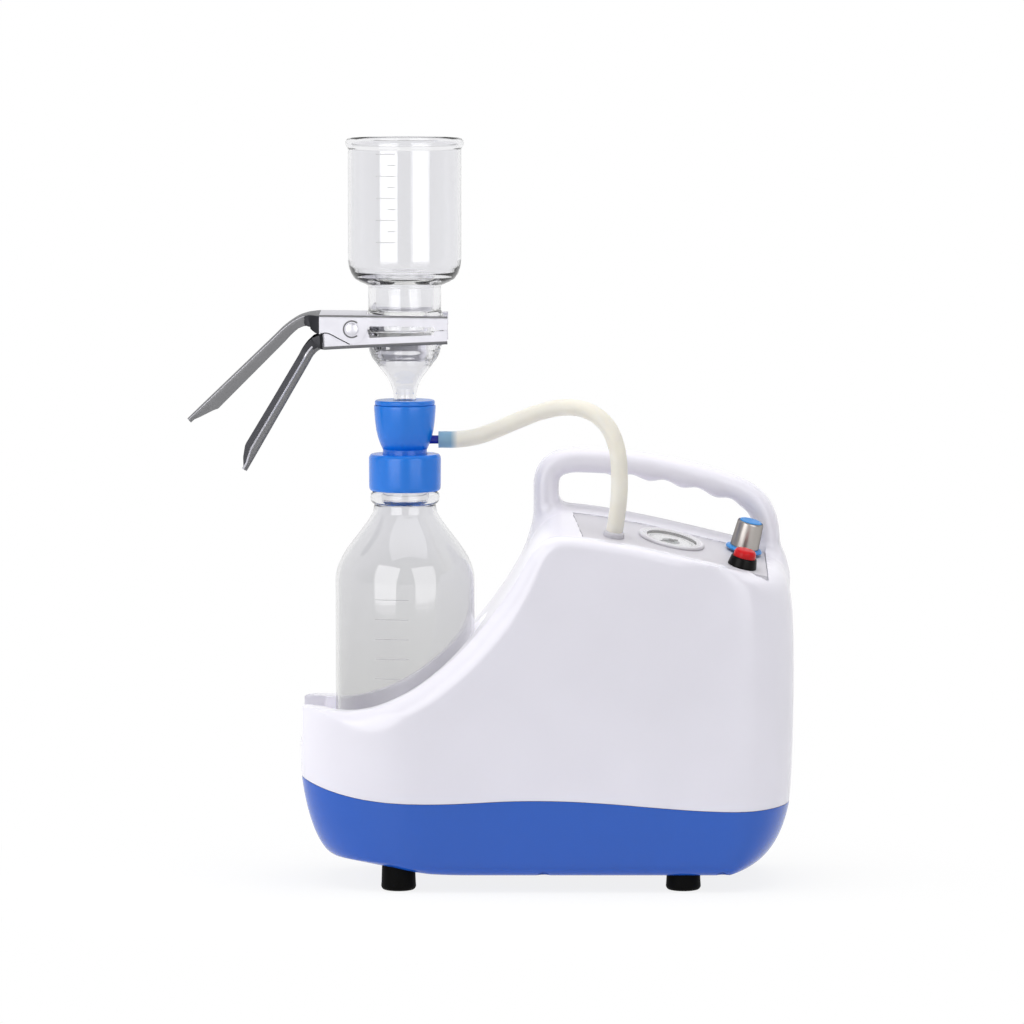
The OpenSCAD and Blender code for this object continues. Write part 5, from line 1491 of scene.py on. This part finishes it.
bottle_marks = grown("bottle_scale", scale_tree, enamel, Count=5, Step=14.2 * MM, Lowest=150.6 * MM,
    Radius=50.25 * MM, Right_End=deg(-86.4), Long_Sweep=deg(28), Short_Sweep=deg(28), Axis=AXIS_X * MM)
for obj in (funnel_marks, bottle_marks):
    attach(obj, "root")
print("scale lines", len(funnel_marks.data.polygons), len(bottle_marks.data.polygons), "faces")

# %% [markdown]
# The dial has a tick for each step of its three-quarter turn, longer at every
# fifth, and a plain hub plate. It has no figures. The ticks are laid flat about
# the frame's origin and then moved to the dial's place on the sloping deck.

# %% Dial
TICK_W, TICK_T, TICK_LEVEL = 0.3, 0.12, -1.55
# Printed ink: flat mid grey.
ink = moulded("grey_dial_ink", "7C7C80", 0.5, 0.3, 0.003)
dial_tree, given, out = group("dial_ticks", {"Count": WHOLE, "Radius": FLOAT, "Long": FLOAT, "Short": FLOAT})
t = dial_tree
arc = add(t, "GeometryNodeCurveArc", Resolution=given["Count"], Radius=given["Radius"], Start_Angle=deg(-45),
    Sweep_Angle=deg(270))
where = add(t, "GeometryNodeInputPosition")
turn = add(t, "FunctionNodeAlignRotationToVector", {"axis": "X"}, Vector=where.outputs[0])
fifth = maths(t, "LESS_THAN", maths(t, "MODULO", add(t, "GeometryNodeInputIndex").outputs[0], 5.0), 0.5)
length = add(t, "ShaderNodeMapRange", i0=fifth, To_Min=given["Short"], To_Max=given["Long"])
size = add(t, "ShaderNodeCombineXYZ", X=length.outputs[0], Y=TICK_W * MM, Z=TICK_T * MM)
cube = add(t, "GeometryNodeMeshCube", Size=(1.0, 1.0, 1.0))
ticks = add(t, "GeometryNodeInstanceOnPoints", Points=arc.outputs[0], Instance=cube.outputs[0],
    Rotation=turn.outputs[0], Scale=size.outputs[0])
finish_tree(t, out, ticks.outputs[0], ink)
dial_ticks = grown("dial_ticks", dial_tree, ink, Count=41, Radius=15.6 * MM, Long=2.6 * MM, Short=1.3 * MM)
foot, up = gauge_at
side, ahead = axes_on(up)
flat = np.empty(len(dial_ticks.data.vertices) * 3)
dial_ticks.data.vertices.foreach_get("co", flat)
flat = flat.reshape(-1, 3) / MM
tilted = foot + flat[:, :1] * side + flat[:, 1:2] * ahead + (flat[:, 2:] + TICK_LEVEL) * up
dial_ticks.data.vertices.foreach_set("co", to_frame(tilted).ravel())
dial_ticks.data.update()
hub = turned("dial_hub_plate", [(1.1, -1.6), (6.5, -1.6), (6.5, -1.45), (1.1, -1.45)], 0.05, 64, gauge_at)
hub.data.materials.append(grey_cast)
for obj, slot in ((dial_ticks, "black_plastic"), (hub, "grey_cast")):
    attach(obj, "root")
print("dial", len(dial_ticks.data.polygons), "faces of ticks")

# %% [markdown]
# ## Spring clamp
# Two jaws are pressed from sheet, each with side walls folded down from a web,
# and each runs out into a lever. A jaw is swept along its own middle line: at
# every station the folded section has its half width, its wall depth and the
# width of the fork that takes the glass. Each half of the section is closed, so
# the sheet keeps its true thickness. A Solidify modifier on a bent sheet would
# thin it at the tight fold between jaw and lever.

# %% Pressed jaw
SHEET, FORK, BEND_R, RING_POINTS, BEAD = 1.3, 27.8, 2.4, 22, 0.45
fold = np.linspace(0, math.pi / 2, 7)


def stations(path):
    """Where along X a jaw gets a section: close together where it bends or opens."""
    mouth = -FORK + 4 * np.linspace(0, 1, 12) ** 2
    return np.unique(np.concatenate([np.linspace(path[0][0], -24, 40), (22.0, 21.4), mouth,
        np.linspace(-30, -56, 12), np.linspace(-56, -80, 40), np.linspace(-80, path[-1][0], 60)]))[::-1]


def half_section(w, h, open_to, bead):
    """One side of the folded section, as (distance from the middle, depth)."""
    r = min(BEND_R, w - 0.4)
    m = max(0.52 * h, r + 0.7)
    end = max(h, m + 0.7)
    outer = [(w, end), (w, m + 0.6), (w + bead, m), (w, m - 0.6)]
    outer += [(w - r + r * math.cos(a), r - r * math.sin(a)) for a in fold]
    web = min(open_to, w - r - 0.1)
    thin = r - SHEET
    inner = [(w - r + thin * math.cos(a), r - thin * math.sin(a)) for a in fold[::-1]]
    inner += [(w - SHEET, m), (w - SHEET, end)]
    return outer + [(web, 0.0), (web, SHEET)] + inner


def jaw(name, path, wide, deep, inward, bead_from=-math.inf):
    """A folded channel. path is (x, z) from the fork to the lever's tip; wide and deep are
    (x, value) tables; inward is +1 where the walls hang to the right of the path, else -1."""
    line = smooth_line(np.array([[x, 0.0, z] for x, z in path]), 12)
    tangent = np.gradient(line, axis=0)
    tangent /= np.linalg.norm(tangent, axis=1)[:, None]
    order = np.argsort(line[:, 0])
    along = stations(path)
    read = lambda values: np.interp(along, line[order, 0], values[order])
    rows = list(zip(along, read(line[:, 2]), read(tangent[:, 0]), read(tangent[:, 2]),
        np.interp(along, *np.array(wide)[::-1].T), np.interp(along, *np.array(deep)[::-1].T)))
    points, faces = [], []
    for s in (-1, 1):
        rings = []
        for x, z, ux, uz, w, h in rows:
            down = inward * np.array([-uz, 0, ux]) / np.hypot(ux, uz)
            open_to = 0.0 if x <= -FORK else (FORK if x >= 0 else math.sqrt(FORK**2 - x * x))
            section = half_section(w, h, open_to, BEAD * float(x < bead_from))
            rings.append([np.array([x, s * y, z]) + d * down for y, d in section])
        p, f = rings_mesh(rings)
        last = (len(rings) - 1) * RING_POINTS
        f += [tuple(range(RING_POINTS)), tuple(range(last, last + RING_POINTS))[::-1]]
        if s * inward < 0:
            f = [q[::-1] for q in f]
        faces += [tuple(v + len(points) for v in q) for q in f]
        points += list(p)
    return solid(name, points, faces, 35)


print("section", len(half_section(32, 10, FORK, 0)), "points")

# %% [markdown]
# The two jaws differ in their lines and in their tables of width and depth. The
# levers slope down to the left, at 44 and 60 degrees to the bench, and narrow to
# their tips.

# %% Jaws and levers
UPPER_LEAN, LOWER_LEAN = math.radians(43.7), math.radians(60.0)
knee, low_knee = np.array([-86.5, JOIN + 3.3]), np.array([-64.0, JOIN - 15.0])
tip = knee - 97 * np.array([math.cos(UPPER_LEAN), math.sin(UPPER_LEAN)])
low_tip = low_knee - 100 * np.array([math.cos(LOWER_LEAN), math.sin(LOWER_LEAN)])


def lever(a, b):
    """Points on a straight lever between its knee and its tip."""
    return [tuple(a + (b - a) * t) for t in (0.12, 0.4, 0.7, 0.9, 1.0)]


upper_path = [(31, JOIN + 11.6), (-20, JOIN + 12.2), (-62, JOIN + 12.7), (-71, JOIN + 12.0),
    (-78, JOIN + 9.3), tuple(knee), *lever(knee, tip)]
upper_wide = [(31, 32), (-61, 32), (-63.5, 28), (-68, 20), (-74, 15), (-82, 13), (tip[0] + 14, 9),
    (tip[0] + 5, 7.5), (tip[0], 4.5)]
upper_deep = [(31, 9.7), (22, 9.7), (21.4, 7.6), (-25, 7.6), (-26.5, 10.6), (-29, 16.6), (-34, 20.3),
    (-41, 20.3), (-54.4, 13.2), (-61, 13.6), (-64, 13), (-68, 10.5), (-72, 8), (-80, 7.2), (-90, 8.2),
    (tip[0] + 15, 10), (tip[0] + 14, 8.8), (tip[0] + 6, 5.5), (tip[0], 2.6)]
upper_jaw = jaw("upper_jaw_and_lever", upper_path, upper_wide, upper_deep, 1)
low_path = [(31, JOIN - 8.5), (-20, JOIN - 10.6), (-56, JOIN - 12.4), (-61, JOIN - 13.2),
    (-65.5, JOIN - 17.6), *lever(low_knee, low_tip)]
low_wide = [(31, 30.4), (-57, 30.4), (-59, 25), (-61, 20), (-63, 16.5), (-66, 12.8), (-70, 10.8),
    (low_tip[0] + 8, 8.4), (low_tip[0] + 3, 7), (low_tip[0], 4.5)]
low_deep = [(31, 9.9), (22, 9.9), (21.4, 7.1), (-24.5, 7.1), (-27, 17), (-33, 20.6), (-45, 21), (-52, 16),
    (-55, 12.4), (-59, 10.6), (-62, 9.6), (-68, 9.2), (-90, 9.8), (low_tip[0] + 8, 10.4),
    (low_tip[0] + 4, 7.4), (low_tip[0], 2.6)]
low_jaw = jaw("lower_jaw_and_lever", low_path, low_wide, low_deep, -1, -67)
print("clamp", len(upper_jaw.data.polygons) + len(low_jaw.data.polygons), "faces")

# %% [markdown]
# Each face of a jaw gets one of three steels, by its place along X and by its
# strip, the number of its point in the section. So light and shade are painted:
# the jaw is the bright steel with painted shade on its fold, the bends into the
# lever are painted shade and deep shade, and each lever is painted shade with a
# painted highlight of bright steel along one strip; the lower lever also has a
# strip of painted deep shade.

# %% Steel on the jaws, with painted light and shade
BRIGHT, SHADED, DARK = range(3)


# The plain steel where a face is lit or carries a painted highlight; the two darker steels are painted shade.
def steel_at(x, strip, level, bend_from, bend_to, dark_from, edges):
    if x > bend_from:
        return SHADED if dark_from <= strip < 10 else BRIGHT
    if x > bend_to:
        return SHADED if level else DARK
    return edges.get(strip, SHADED)


for obj, node, *rule in (
    (upper_jaw, "clamp_upper_jaw", -61.2, -72, 6, {6: BRIGHT}),
    (low_jaw, "clamp_lower_jaw", -58.4, -66, 4, {0: DARK, 1: BRIGHT, 2: BRIGHT}),
):
    dress(obj, node, steel_sheet, shaded_steel, deep_shade_steel)
    for k, face in enumerate(obj.data.polygons):
        x, level = face.center[0] / MM - AXIS_X, abs(face.normal[2]) >= 0.5
        face.material_index = steel_at(x, k % RING_POINTS, level, *rule)
    print(node, np.bincount([face.material_index for face in obj.data.polygons]).tolist(), "faces a steel")

# %% [markdown]
# The pin is riveted over at both ends. Round its heads the sheet is pressed up in
# a fine ring, in the darker steel of painted shade. Along the ears' lower edges a
# thin dark wire is a painted shadow line. The spring is wire: six and a half turns
# round the pin, and two legs that press the jaws together.

# %% Pin and spring
PIN = (-37.5, JOIN + 2.6)
WEAL_RING, WEAL_R, WEAL_Y = 5.9, 0.55, 32.15
SHADOW_LINE_R, EAR_Y = 0.42, 31.9
COIL_R, WIRE_R, TURNS, COIL_HALF = 4.9, 0.8, 6.5, 10
half_pin = ((0.01, 34.2), (3.2, 34.1), (4.3, 33.5), (4.4, 32.3), (2.5, 32.2))
pin_outline = [(r, -y) for r, y in half_pin] + list(half_pin[::-1])
rings = [[(PIN[0] + r * math.cos(a), y, PIN[1] + r * math.sin(a)) for a in turn_by] for r, y in pin_outline]
dress(solid("clamp_rivet", *rings_mesh(rings), 35), "clamp_pin")
for s, end in ((-1, "front"), (1, "back")):
    swing = np.radians(np.linspace(50, 310, 60))
    ring = np.column_stack([PIN[0] + WEAL_RING * np.cos(swing), np.full(60, s * WEAL_Y),
        PIN[1] + WEAL_RING * np.sin(swing)])
    # The pressed ring round the rivet head, in the darker steel of painted shade.
    weal = tube(f"rivet_weal_{end}", ring, WEAL_R, sides=10)
    weal.data.materials.append(shaded_steel)
    # A painted shadow line: a thin dark wire along the lower edge of each ear.
    ear = [[x, s * EAR_Y, JOIN - z] for x, z in ((-39.0, 8.2), (-46.5, 4.4), (-54.4, 0.4), (-60, 0.6))]
    shadow_line = tube(f"ear_edge_{end}", smooth_line(np.array(ear), 6), SHADOW_LINE_R, sides=8)
    shadow_line.data.materials.append(deep_shade_steel)
    for mark in (weal, shadow_line):
        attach(mark, "upper_jaw")
t = np.linspace(0, 1, 241)
turns = 2 * math.pi * TURNS * t
coil = np.column_stack([PIN[0] + COIL_R * np.sin(turns), COIL_HALF * (1 - 2 * t),
    PIN[1] + COIL_R * np.cos(turns)])
leg = np.linspace(0, 1, 12)[1:, None]
first = coil[0] + leg[::-1] * (np.array([PIN[0] - 10, COIL_HALF, PIN[1] + 3.8]) - coil[0])
last = coil[-1] + leg * (np.array([PIN[0] - 20, -COIL_HALF, PIN[1] - 12.4]) - coil[-1])
spring = tube("clamp_torsion_spring", np.vstack([first, coil, last]), WIRE_R, sides=12)
dress(spring, "clamp_spring")
print("spring", len(spring.data.polygons), "faces")
